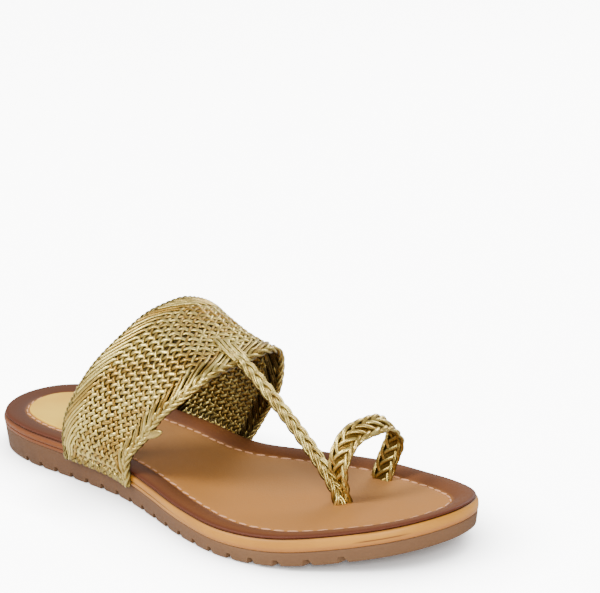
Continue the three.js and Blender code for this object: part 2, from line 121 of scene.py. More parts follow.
class Curve:
    """A centripetal Catmull-Rom curve through a few points, read by its length."""

    def __init__(self, points: np.ndarray, closed: bool = False, density: int = 40) -> None:
        """Samples the curve.

        Args:
            points: The points that the curve passes through, one per row.
            closed: Whether the last point joins the first.
            density: Samples on each span between points.
        """
        spans = len(points) if closed else len(points) - 1
        if closed:
            padded = np.vstack([points[-1:], points, points[:2]])
        else:
            padded = np.vstack([2 * points[0] - points[1], points, 2 * points[-1] - points[-2]])
        samples = []
        for k in range(spans):
            samples.append(self._span(padded[k : k + 4], density))
        samples.append(points[:1] if closed else points[-1:])
        self.samples = np.vstack(samples)
        steps = np.linalg.norm(np.diff(self.samples, axis=0), axis=1)
        self.lengths = np.concatenate([[0.0], np.cumsum(steps)])
        self.length = float(self.lengths[-1])

    @staticmethod
    def _span(four: np.ndarray, density: int) -> np.ndarray:
        """Samples the span between the middle two of four points.

        Args:
            four: The points, one per row.
            density: How many samples.

        Returns:
            The samples, without the span's end.
        """
        knots = [0.0]
        for a, b in zip(four[:-1], four[1:]):
            knots.append(knots[-1] + max(1e-4, float(np.linalg.norm(b - a)) ** 0.5))
        t = np.linspace(knots[1], knots[2], density, endpoint=False)[:, None]

        def blend(a: np.ndarray, b: np.ndarray, low: float, high: float) -> np.ndarray:
            """Goes from a at the low knot to b at the high one."""
            return a * (high - t) / (high - low) + b * (t - low) / (high - low)

        first = [blend(four[k], four[k + 1], knots[k], knots[k + 1]) for k in range(3)]
        second = [blend(first[k], first[k + 1], knots[k], knots[k + 2]) for k in range(2)]
        return blend(second[0], second[1], knots[1], knots[2])

    def at(self, share: np.ndarray | float) -> np.ndarray:
        """Gives points at shares of the curve's length."""
        where = np.atleast_1d(share) * self.length
        return np.column_stack([np.interp(where, self.lengths, axis) for axis in self.samples.T])

    def along(self, share: np.ndarray) -> np.ndarray:
        """Gives unit directions at shares of the curve's length."""
        step = 0.5 / self.length
        return unit(self.at(np.minimum(share + step, 1)) - self.at(np.maximum(share - step, 0)))


@dataclass
class Last:
    """The sandal's driving sizes, and the outline, heights and places worked out from them."""

    length: float = 250.0
    ball: float = 90.0
    waist: float = 57.0
    heel: float = 60.0
    spring: float = 8.3
    spring_start: float = 0.697
    outsole: tuple[float, ...] = (10.1, 10.1, 8.7, 5.9, 5.2)
    midsole: tuple[float, ...] = (4.7, 4.7, 4.94, 5.12, 5.3)
    layer_along: tuple[float, ...] = (0.0, 0.12, 0.44, 0.72, 1.0)
    gap: float = 0.3
    rim_width: float = 10.0
    rim_crown: float = 1.1
    rim_drop: float = 0.6
    band_rise: float = 60.0
    ring_count: int = 240

    # Along the sole, out to each side as a share of the width named last
    outline_rows: tuple[tuple[float, float, float, str], ...] = (
        (0.01, 0.093, 0.275, "heel"),
        (0.04, 0.267, 0.415, "heel"),
        (0.08, 0.378, 0.49, "heel"),
        (0.16, 0.462, 0.535, "heel"),
        (0.28, 0.502, 0.512, "waist"),
        (0.4, 0.525, 0.472, "waist"),
        (0.46, 0.572, 0.432, "waist"),
        (0.52, 0.64, 0.432, "waist"),
        (0.62, 0.478, 0.383, "ball"),
        (0.72, 0.513, 0.478, "ball"),
        (0.82, 0.467, 0.466, "ball"),
        (0.9, 0.333, 0.41, "ball"),
        (0.96, 0.186, 0.32, "ball"),
        (0.988, 0.06, 0.229, "ball"),
    )
    heel_tip: float = 0.087
    toe_tip: float = 0.092
    shift: np.ndarray = field(default_factory=lambda: np.zeros(3))

    def __post_init__(self) -> None:
        """Draws the outline and sets the last where the frame has it."""
        widths = {"heel": self.heel, "waist": self.waist, "ball": self.ball}
        outer = [(a * self.length, -o * widths[w]) for a, o, _, w in self.outline_rows]
        inner = [(a * self.length, i * widths[w]) for a, _, i, w in self.outline_rows]
        tips = [(0.0, self.heel_tip * self.heel), (self.length, self.toe_tip * self.ball)]
        self.outline = Curve(np.array([tips[0], *outer, tips[1], *inner[::-1]]), closed=True)
        toe = int(np.argmax(self.outline.samples[:, 0]))
        self.edge_lines = {
            Side.OUTER: self.outline.samples[: toe + 1],
            Side.INNER: self.outline.samples[toe:][::-1],
        }
        low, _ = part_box("midsole")
        corner = self.outline.samples.min(axis=0)
        self.shift = np.array([low.x / MM - corner[0], low.y / MM - corner[1], 0.0])

    def ground(self, x: np.ndarray) -> np.ndarray:
        """Height of the outsole's underside."""
        start = self.spring_start * self.length
        return self.spring * np.clip((x - start) / (self.length - start), 0, None) ** 2

    def _layer(self, x: np.ndarray, values: Sequence[float]) -> np.ndarray:
        """Reads a layer's thickness off a smooth curve through its rows.

        Args:
            x: Places along the last.
            values: The thickness at each row of layer_along.

        Returns:
            The thickness at each place.
        """
        rows, heights = np.array(self.layer_along), np.array(values)
        share = np.clip(x / self.length, 0, 1)
        slopes = np.gradient(heights, rows)
        k = np.clip(np.searchsorted(rows, share, side="right") - 1, 0, len(rows) - 2)
        span = rows[k + 1] - rows[k]
        t = (share - rows[k]) / span
        ease = t * t * (3 - 2 * t)
        bend = t * (1 - t) * span * ((1 - t) * slopes[k] - t * slopes[k + 1])
        return mix(heights[k], heights[k + 1], ease) + bend

    def seam(self, x: np.ndarray) -> np.ndarray:
        """Height of the seam between outsole and midsole."""
        return self.ground(x) + self._layer(x, self.outsole)

    def rim(self, x: np.ndarray) -> np.ndarray:
        """Height of the midsole's top edge, where the footbed's rim starts."""
        return self.seam(x) + self._layer(x, self.midsole)

    def edge(self, x: np.ndarray, side: Side) -> np.ndarray:
        """How far out the sole's edge is on one side."""
        line = self.edge_lines[side]
        return np.interp(x, line[:, 0], line[:, 1])

    def ring(self, inset: Height | float, height: Height) -> np.ndarray:
        """Gives a ring of points along the outline.

        Args:
            inset: How far the ring lies inside the outline, or that as a function of x.
            height: The ring's height as a function of x.

        Returns:
            The points, heel first, counterclockwise from above.
        """
        share = self._shares()
        points, along = self.outline.at(share), self.outline.along(share)
        depth = inset(points[:, :1]) if callable(inset) else inset
        points = points + depth * np.column_stack([-along[:, 1], along[:, 0]])
        return np.column_stack([points, height(points[:, 0])])

    def spine(self, inset: float, share: float, height: Height) -> np.ndarray:
        """Gives a ring drawn together towards the line along its middle.

        Args:
            inset: How far the whole ring lies inside the outline.
            share: How far it is drawn together, from 0 to 1.
            height: Its height as a function of x.

        Returns:
            The points, in the order of ring.
        """
        ring = self.ring(inset, height)
        mates = ring[(-np.arange(len(ring))) % len(ring)]
        middle = (ring + mates) / 2
        points = mix(ring, middle, share)
        points[:, 2] = height(points[:, 0])
        return points

    def spines(self, inset: float, shares: Sequence[float], height: Height) -> list[np.ndarray]:
        """Gives the spine rings of several shares."""
        return [self.spine(inset, share, height) for share in shares]

    def _shares(self) -> np.ndarray:
        """Shares out the ring's points so that both sides have equally many.

        Returns:
            Each point's place as a share of the outline's length.
        """
        half = self.ring_count // 2
        lengths, samples = self.outline.lengths, self.outline.samples
        toe = lengths[int(np.argmax(samples[:, 0]))] / self.outline.length
        sides = [np.linspace(low, high, half, endpoint=False) for low, high in ((0, toe), (toe, 1))]
        return np.concatenate(sides)

    def place(
        self, along: np.ndarray, across: np.ndarray, up: np.ndarray, stand: np.ndarray | float
    ) -> np.ndarray:
        """Turns shares into places.

        Args:
            along: Shares of the sole's length.
            across: Shares of its half breadth there.
            up: Shares of the band's rise above the seam.
            stand: How far outside the sole's edge a full share lies.

        Returns:
            The places, one per row.
        """
        x = np.asarray(along) * self.length
        outer, inner = self.edge(x, Side.OUTER), self.edge(x, Side.INNER)
        y = (outer + inner) / 2 + across * ((inner - outer) / 2 + stand)
        return np.column_stack([x, y, self.seam(x) + self.gap / 2 + np.asarray(up) * self.band_rise])

    def metres(self, points: np.ndarray) -> np.ndarray:
        """Moves points from the last into the frame, in metres."""
        return (np.asarray(points) + self.shift) * MM


class NodeTree:
    """Adds and links shader nodes."""

    def __init__(self, tree: bpy.types.NodeTree) -> None:
        """Keeps the tree to work on."""
        self.tree = tree
        self.column = 0

    def add(self, kind: str, **values: object) -> bpy.types.Node:
        """Adds a node.

        Args:
            kind: The node's type name without its ShaderNode prefix.
            **values: Properties of the node, or defaults of its inputs by name with _ for spaces.

        Returns:
            The node.
        """
        prefix = "" if kind.startswith("NodeGroup") else "ShaderNode"
        node = self.tree.nodes.new(prefix + kind)
        node.location = (self.column * 40, -self.column * 20)
        self.column += 1
        for name, value in values.items():
            if hasattr(node, name):
                setattr(node, name, value)
            else:
                node.inputs[name.replace("_", " ")].default_value = value
        return node

    def link(self, source: bpy.types.NodeSocket, target: bpy.types.NodeSocket) -> None:
        """Links an output to an input."""
        self.tree.links.new(source, target)

    def feed(self, value: object, slot: bpy.types.NodeSocket) -> None:
        """Links a socket to an input, or sets the input to a number or a colour.

        Args:
            value: The socket, number or colour.
            slot: The input.
        """
        if isinstance(value, bpy.types.NodeSocket):
            self.link(value, slot)
        elif isinstance(value, tuple):
            slot.default_value = (*value, 1.0)
        else:
            slot.default_value = value

    def maths(
        self, operation: str, first: object, second: object = 0.0, clamp: bool = False
    ) -> bpy.types.NodeSocket:
        """Adds a Math node.

        Args:
            operation: What it does.
            first: Its first socket or number.
            second: Its second socket or number.
            clamp: Whether its result is kept from 0 to 1.

        Returns:
            Its output.
        """
        node = self.add("Math", operation=operation, use_clamp=clamp)
        for slot, value in zip(node.inputs, (first, second)):
            self.feed(value, slot)
        return node.outputs[0]

    def blend(self, share: object, first: object, second: object) -> bpy.types.NodeSocket:
        """Mixes two colours.

        Args:
            share: How much of the second colour there is, a socket or a number.
            first: The first colour, a socket or a tuple.
            second: The second colour, a socket or a tuple.

        Returns:
            The mixed colour's socket.
        """
        node = self.add("Mix", data_type="RGBA")
        for slot, value in ((node.inputs[0], share), (node.inputs[6], first), (node.inputs[7], second)):
            self.feed(value, slot)
        return node.outputs[2]

    def ramp(self, source: bpy.types.NodeSocket, low: float, high: float) -> bpy.types.NodeSocket:
        """Maps a value smoothly from low and high to 0 and 1.

        Args:
            source: The value's socket.
            low: The value that gives 0.
            high: The value that gives 1.

        Returns:
            The mapped value's socket.
        """
        node = self.add("MapRange", interpolation_type="SMOOTHSTEP")
        self.link(source, node.inputs["Value"])
        node.inputs["From Min"].default_value = low
        node.inputs["From Max"].default_value = high
        return node.outputs[0]

    def forward(self, back: float, front: float) -> bpy.types.NodeSocket:
        """Goes from 0 to 1 along the sandal, between two places in metres."""
        apart = self.add("SeparateXYZ")
        self.link(self.add("TexCoord").outputs["Object"], apart.inputs[0])
        return self.ramp(apart.outputs["X"], back, front)

    def attribute(self, name: str) -> bpy.types.NodeSocket:
        """Reads a number stored on the mesh."""
        return self.add("Attribute", attribute_name=name).outputs["Fac"]


def grain_group() -> bpy.types.NodeTree:
    """Makes the leather grain group: fine pebbles and soft clouds on object coordinates.

    Returns:
        The group, made on the first call and shared after that.
    """
    name = "leather_grain"
    if name in bpy.data.node_groups:
        return bpy.data.node_groups[name]
    tree = bpy.data.node_groups.new(name, "ShaderNodeTree")
    face = tree.interface
    for label, value in (("Pebble Scale", 900.0), ("Cloud Scale", 25.0)):
        face.new_socket(label, in_out="INPUT", socket_type="NodeSocketFloat").default_value = value
    for label in ("Height", "Clouds", "Pores"):
        face.new_socket(label, in_out="OUTPUT", socket_type="NodeSocketFloat")
    kit = NodeTree(tree)
    inputs, outputs = kit.add("NodeGroupInput"), kit.add("NodeGroupOutput")
    place = kit.add("TexCoord").outputs["Object"]
    pebbles = kit.add("TexVoronoi", feature="DISTANCE_TO_EDGE")
    fine = kit.add("TexNoise", Detail=4.0, Roughness=0.6)
    clouds = kit.add("TexNoise", Detail=3.0, Roughness=0.55)
    for node in (pebbles, fine, clouds):
        kit.link(place, node.inputs["Vector"])
    kit.link(inputs.outputs[0], pebbles.inputs["Scale"])
    kit.link(kit.maths("MULTIPLY", inputs.outputs[0], 1.7), fine.inputs["Scale"])
    kit.link(inputs.outputs[1], clouds.inputs["Scale"])
    pores = kit.ramp(pebbles.outputs["Distance"], 0.0, 0.12)
    coarse_part, fine_part = kit.maths("MULTIPLY", pores, 0.6), kit.maths("MULTIPLY", fine.outputs[0], 0.4)
    kit.link(kit.maths("ADD", coarse_part, fine_part), outputs.inputs["Height"])
    kit.link(clouds.outputs[0], outputs.inputs["Clouds"])
    kit.link(pores, outputs.inputs["Pores"])
    return tree


def new_material(name: str) -> tuple[bpy.types.Material, NodeTree, bpy.types.Node]:
    """Makes a material with a Principled shader.

    Args:
        name: The material's name.

    Returns:
        The material, its tree's kit and its shader.
    """
    material = bpy.data.materials.new(name)
    material.use_nodes = True
    material.node_tree.nodes.clear()
    kit = NodeTree(material.node_tree)
    shader, output = kit.add("BsdfPrincipled"), kit.add("OutputMaterial")
    kit.link(shader.outputs[0], output.inputs["Surface"])
    return material, kit, shader


def add_bump(
    kit: NodeTree, shader: bpy.types.Node, height: bpy.types.NodeSocket, depth: float, strength: float
) -> None:
    """Feeds a height through a Bump node into the shader's normal.

    Args:
        kit: The tree's kit.
        shader: The Principled shader.
        height: The height, from 0 to 1.
        depth: How deep a height of 1 is, in metres.
        strength: The bump's strength.
    """
    bump = kit.add("Bump", Distance=depth, Strength=strength)
    kit.link(height, bump.inputs["Height"])
    kit.link(bump.outputs[0], shader.inputs["Normal"])


@dataclass(frozen=True)
class Finish:
    """What each leather or rubber finish sets, its grain, gloss and bump, round a colour of its own."""

    name: str
    pebble: float = 800.0
    cloud: float = 30.0
    roughness: float = 0.55
    specular: float = 0.25
    metallic: float = 0.0
    bump_depth: float = 0.00008
    bump_strength: float = 0.35

    def make(self) -> bpy.types.Material:
        """Builds the material.

        Returns:
            The material, with its colour, roughness and bump.
        """
        material, kit, shader = new_material(self.name)
        grain = kit.add("Group", node_tree=grain_group())
        grain.inputs["Pebble Scale"].default_value = self.pebble
        grain.inputs["Cloud Scale"].default_value = self.cloud
        kit.link(self.colour(kit, grain), shader.inputs["Base Color"])
        kit.feed(self.gloss(kit, grain), shader.inputs["Roughness"])
        shader.inputs["Specular IOR Level"].default_value = self.specular
        shader.inputs["Metallic"].default_value = self.metallic
        add_bump(kit, shader, grain.outputs["Height"], self.bump_depth, self.bump_strength)
        return material

    def colour(self, kit: NodeTree, grain: bpy.types.Node) -> bpy.types.NodeSocket:
        """Gives the colour's socket, which each finish makes its own way."""
        raise NotImplementedError

    def gloss(self, kit: NodeTree, grain: bpy.types.Node) -> bpy.types.NodeSocket | float:
        """Gives the roughness, a plain number where it is the same all over."""
        return self.roughness


@dataclass(frozen=True)
class RubberFinish(Finish):
    """Matt moulded rubber, darker at the heel and in soft clouds."""

    name: str = "taupe_rubber"
    pebble: float = 1500.0
    cloud: float = 40.0
    roughness: float = 0.7
    bump_depth: float = 0.00015
    front: str = "755539"
    heel: str = "5b3f28"
    dark: str = "6b4a31"
    dark_share: float = 0.45
    heel_fade: tuple[float, float] = (-0.06, 0.08)

    def colour(self, kit: NodeTree, grain: bpy.types.Node) -> bpy.types.NodeSocket:
        """Goes from the heel's tone to the front's, with clouds of the dark one.

        Args:
            kit: The material's kit.
            grain: The grain group's node.

        Returns:
            The colour's socket.
        """
        body = kit.blend(kit.forward(*self.heel_fade), tint(self.heel), tint(self.front))
        shade = kit.maths("MULTIPLY", kit.ramp(grain.outputs["Clouds"], 0.75, 0.3), self.dark_share)
        return kit.blend(shade, body, tint(self.dark))


@dataclass(frozen=True)
class HoneyFinish(Finish):
    """A waxed honey edge, darker round the heel, with painted shade in its grooves and along its seams, and
    browner low down in front.
    """

    name: str = "honey_edge"
    pebble: float = 700.0
    cloud: float = 35.0
    roughness: float = 0.5
    specular: float = 0.3
    bump_depth: float = 0.00006
    bump_strength: float = 0.3
    front: str = "cb8a2e"
    back: str = "743d10"
    # Painted shade in the side's grooves and along the seams at its lips
    groove: str = "4a2208"
    low: str = "9c5f38"
    cloud_share: float = 0.35
    low_share: float = 0.6
    back_fade: tuple[float, float] = (-0.07, 0.03)
    low_fade: tuple[float, float] = (-0.06, 0.1)

    def colour(self, kit: NodeTree, grain: bpy.types.Node) -> bpy.types.NodeSocket:
        """Lays the clouds, the browner foot and the painted groove shade over a tone that pales to the front.

        Args:
            kit: The material's kit.
            grain: The grain group's node.

        Returns:
            The colour's socket.
        """
        body = kit.blend(kit.forward(*self.back_fade), tint(self.back), tint(self.front))
        clouds = kit.maths("MULTIPLY", kit.ramp(grain.outputs["Clouds"], 0.3, 0.8), self.cloud_share)
        body = kit.blend(clouds, body, tint(self.back))
        low = kit.maths("MULTIPLY", kit.ramp(kit.attribute("rise"), 0.55, 0.1), kit.forward(*self.low_fade))
        body = kit.blend(kit.maths("MULTIPLY", low, self.low_share), body, tint(self.low))
        return kit.blend(kit.attribute("groove"), body, tint(self.groove))


@dataclass(frozen=True)
class FootbedFinish(Finish):
    """Tan leather, burnished to a glossy dark brown towards and over its rim, with painted shade on the rim's
    outer side.
    """

    name: str = "tan_leather"
    pebble: float = 650.0
    cloud: float = 14.0
    roughness: float = 0.56
    specular: float = 0.26
    tan: str = "b07433"
    shade: str = "a3713e"
    rim: str = "6b3d1a"
    rim_heel: str = "583420"
    # The rim's outer side, darkest at its edge, is painted shade where it meets the midsole
    edge: str = "56270e"
    pore_share: float = 0.25
    rim_inset: float = 9.6
    rim_fade: float = 1.0
    edge_fade: tuple[float, float] = (0.9, 3.2)
    heel_fade: tuple[float, float] = (-0.09, -0.02)
    middle_rougher: float = 0.04

    def colour(self, kit: NodeTree, grain: bpy.types.Node) -> bpy.types.NodeSocket:
        """Sets a clouded tan with darker pores inside a rim that darkens to its edge with painted shade.

        Args:
            kit: The material's kit.
            grain: The grain group's node.

        Returns:
            The colour's socket.
        """
        tan = kit.blend(kit.ramp(grain.outputs["Clouds"], 0.3, 0.7), tint(self.shade), tint(self.tan))
        pores = kit.maths("MULTIPLY", kit.maths("SUBTRACT", 1.0, grain.outputs["Pores"]), self.pore_share)
        tan = kit.blend(pores, tan, tint(self.shade))
        rim = kit.blend(kit.forward(*self.heel_fade), tint(self.rim_heel), tint(self.rim))
        rim = kit.blend(kit.ramp(kit.attribute("inset"), *self.edge_fade), tint(self.edge), rim)
        return kit.blend(self._inside(kit), rim, tan)

    def gloss(self, kit: NodeTree, grain: bpy.types.Node) -> bpy.types.NodeSocket | float:
        """Makes the middle a little rougher than the rim."""
        rougher = kit.maths("MULTIPLY", self._inside(kit), self.middle_rougher)
        return kit.maths("ADD", rougher, self.roughness)

    def _inside(self, kit: NodeTree) -> bpy.types.NodeSocket:
        """Goes from 0 on the rim to 1 inside it."""
        inset = kit.attribute("inset")
        return kit.ramp(inset, self.rim_inset - self.rim_fade, self.rim_inset + self.rim_fade)


@dataclass(frozen=True)
class PatchFinish(Finish):
    """Pale cream leather with faint clouds."""

    name: str = "pale_leather"
    base: str = "f7c94c"
    shade: str = "e8b23c"

    def colour(self, kit: NodeTree, grain: bpy.types.Node) -> bpy.types.NodeSocket:
        """Clouds the cream with its shade."""
        return kit.blend(kit.ramp(grain.outputs["Clouds"], 0.3, 0.75), tint(self.shade), tint(self.base))


@dataclass(frozen=True)
class GoldFinish(Finish):
    """Strips of metallic gold leather: brighter on their crowns, with painted shade on their sides and
    undersides and in the gaps.
    """

    name: str = "gold_leather"
    pebble: float = 1400.0
    cloud: float = 160.0
    roughness: float = 0.27
    specular: float = 0.5
    metallic: float = 0.85
    bump_depth: float = 0.00006
    bump_strength: float = 0.5
    bright: str = "fae488"
    base: str = "a57a28"
    weave_shade: str = "3d2e0d"
    grain_gloss: float = 0.12

    def colour(self, kit: NodeTree, grain: bpy.types.Node) -> bpy.types.NodeSocket:
        """Gives each strip its own tone, clouded, and paints shade on what lies deep in the weave.

        Args:
            kit: The material's kit.
            grain: The grain group's node.

        Returns:
            The colour's socket.
        """
        clouds = kit.maths("MULTIPLY", kit.maths("SUBTRACT", grain.outputs["Clouds"], 0.5), 0.5)
        share = kit.maths("ADD", kit.attribute("tone"), clouds, clamp=True)
        body = kit.blend(share, tint(self.base), tint(self.bright))
        return kit.blend(kit.attribute("depth"), body, tint(self.weave_shade))

    def gloss(self, kit: NodeTree, grain: bpy.types.Node) -> bpy.types.NodeSocket | float:
        """Varies the roughness with the grain, about the finish's own value."""
        varied = kit.maths("MULTIPLY", grain.outputs["Height"], self.grain_gloss)
        return kit.maths("ADD", varied, self.roughness - self.grain_gloss / 2)


@dataclass(frozen=True)
class ThreadFinish:
    """Waxed cream thread with a fine twist."""

    name: str = "cream_thread"
    base: str = "e2a679"
    shade: str = "a9744e"
    shade_share: float = 0.4
    twist_scale: float = 900.0
    roughness: float = 0.55
    bump_depth: float = 0.0001
    bump_strength: float = 0.4

    def make(self) -> bpy.types.Material:
        """Builds the material.

        Returns:
            The material, its colour and bump from one wave.
        """
        material, kit, shader = new_material(self.name)
        wave = kit.add("TexWave", Scale=self.twist_scale, Distortion=1.5)
        kit.link(kit.add("TexCoord").outputs["Object"], wave.inputs["Vector"])
        share = kit.maths("MULTIPLY", wave.outputs[1], self.shade_share)
        kit.link(kit.blend(share, tint(self.base), tint(self.shade)), shader.inputs["Base Color"])
        shader.inputs["Roughness"].default_value = self.roughness
        add_bump(kit, shader, wave.outputs[1], self.bump_depth, self.bump_strength)
        return material


def deselect_all() -> None:
    """Leaves edit mode if needed and deselects every object."""
    if bpy.context.object and bpy.context.object.mode != "OBJECT":
        bpy.ops.object.mode_set(mode="OBJECT")
    bpy.ops.object.select_all(action="DESELECT")


def make_active(piece: bpy.types.Object) -> None:
    """Selects one object alone and makes it the active one."""
    deselect_all()
    piece.select_set(True)
    bpy.context.view_layer.objects.active = piece


def store(piece: bpy.types.Object, name: str, values: np.ndarray) -> None:
    """Stores a number on each vertex for a material to read."""
    layer = piece.data.attributes.new(name, "FLOAT", "POINT")
    layer.data.foreach_set("value", np.asarray(values, np.float32))


def finish_piece(
    piece: bpy.types.Object, material: bpy.types.Material, slot: Slot, node: str | None = None
) -> None:
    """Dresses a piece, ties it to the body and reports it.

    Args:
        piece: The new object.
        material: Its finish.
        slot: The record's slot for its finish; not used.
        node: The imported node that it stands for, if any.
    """
    piece.data.materials.clear()
    piece.data.materials.append(material)
    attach(piece, BODY)
    if node:
        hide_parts(node)
    LOG.info("%s: %d faces", piece.name, len(piece.data.polygons))


def skin_rings(name: str, last: Last, rings: Sequence[np.ndarray]) -> bpy.types.Object:
    """Skins a closed form over rings: a circle is set on the first ring and extruded from ring to ring.

    Args:
        name: The piece's name.
        last: The last, for the frame's place.
        rings: Rings of equally many points, from the middle of the underside to the middle of the top.

    Returns:
        The new object, its faces pointing outwards.
    """
    deselect_all()
    bpy.ops.mesh.primitive_circle_add(vertices=len(rings[0]), radius=last.ball * MM)
    piece = bpy.context.object
    piece.name = name
    bpy.ops.object.mode_set(mode="EDIT")
    bpy.ops.mesh.select_all(action="SELECT")
    mesh = bmesh.from_edit_mesh(piece.data)
    mesh.verts.ensure_lookup_table()
    order = mesh.verts.layers.int.new("order")
    for k, vertex in enumerate(mesh.verts):
        vertex[order] = k
        vertex.co = Vector(last.metres(rings[0][k]))
    bmesh.update_edit_mesh(piece.data)
    for ring in rings[1:]:
        bpy.ops.mesh.extrude_edges_move()
        places = last.metres(ring)
        mesh = bmesh.from_edit_mesh(piece.data)
        order = mesh.verts.layers.int["order"]
        for vertex in mesh.verts:
            if vertex.select:
                vertex.co = Vector(places[vertex[order]])
        bmesh.update_edit_mesh(piece.data)
    bpy.ops.mesh.select_all(action="SELECT")
    bpy.ops.mesh.remove_doubles(threshold=MERGE_DISTANCE)
    bpy.ops.mesh.normals_make_consistent(inside=False)
    bpy.ops.object.mode_set(mode="OBJECT")
    piece.data.transform(piece.matrix_world)
    piece.matrix_world = Matrix.Identity(4)
    bpy.ops.object.shade_smooth_by_angle(angle=SMOOTH_ANGLE)
    return piece


@dataclass
class Outsole:
    """The moulded rubber outsole with its short grooves."""

    last: Last
    edge: float = 1.1
    # Inset and lift above the ground, as shares of the edge's rounding
    lower_rows: tuple[tuple[float, float], ...] = ((1.6, 0.0), (1.25, 0.18), (1.0, 0.55))
    # Inset as a share of the edge's rounding, and lift above the seam
    upper_rows: tuple[tuple[float, float], ...] = ((0.4, -0.9), (0.4, -0.35), (0.55, 0.04))
    top_inset: float = 3.0
    groove_count: int = 19
    groove_first: float = 38.8
    groove_pitch: float = 10.4
    groove_mouth: float = 3.7
    groove_floor: float = 1.7
    groove_depth: float = 2.5

    def build(self) -> None:
        """Models the outsole, cuts its grooves and dresses it."""
        last = self.last
        rings = last.spines(2 * self.edge, DRAWN_OUT, last.ground)
        for inset, lift in self.lower_rows:
            rings.append(last.ring(inset * self.edge, raised(last.ground, lift * self.edge)))
        for inset, lift in self.upper_rows:
            rings.append(last.ring(inset * self.edge, raised(last.seam, lift)))
        rings += last.spines(self.top_inset, DRAWN_IN, raised(last.seam, -last.gap / 2))
        piece = skin_rings("outsole_body", last, rings)
        self._cut_grooves(piece)
        finish_piece(piece, RubberFinish().make(), Slot.RUBBER, "outsole")

    def _cut_grooves(self, piece: bpy.types.Object) -> None:
        """Cuts the row of grooves with tapered bars, joined into one cutter.

        Args:
            piece: The outsole.
        """
        bars = [self._bar(self.groove_first + k * self.groove_pitch) for k in range(self.groove_count)]
        deselect_all()
        for bar in bars:
            bar.select_set(True)
        bpy.context.view_layer.objects.active = bars[0]
        bpy.ops.object.join()
        cutter = bpy.context.object
        make_active(piece)
        cut = piece.modifiers.new("grooves", "BOOLEAN")
        cut.operation = "DIFFERENCE"
        cut.object = cutter
        cut.solver = "EXACT"
        bpy.ops.object.modifier_apply(modifier=cut.name)
        bpy.data.objects.remove(cutter)
        bpy.ops.object.shade_smooth_by_angle(angle=SMOOTH_ANGLE)

    def _bar(self, x: float) -> bpy.types.Object:
        """Shapes one cutting bar from a cube, wide at the groove's mouth and narrow at its floor.

        Args:
            x: The groove's place along the last.

        Returns:
            The bar, turned to the underside's slope there.
        """
        before, here, after = self.last.ground(np.array([x - 0.5, x, x + 0.5]))
        place = Vector(self.last.metres(np.array([x, 0.0, here])))
        spin = Matrix.Rotation(-math.atan(after - before), 4, "Y")
        deselect_all()
        bpy.ops.mesh.primitive_cube_add(size=1.0)
        bar = bpy.context.object
        for vertex in bar.data.vertices:
            upper = vertex.co.z > 0
            wide = self.groove_floor if upper else self.groove_mouth * 1.5
            high = self.groove_depth if upper else -self.groove_depth
            local = Vector((vertex.co.x * wide, vertex.co.y * 2 * self.last.ball, high)) * MM
            vertex.co = spin @ local + place
        return bar


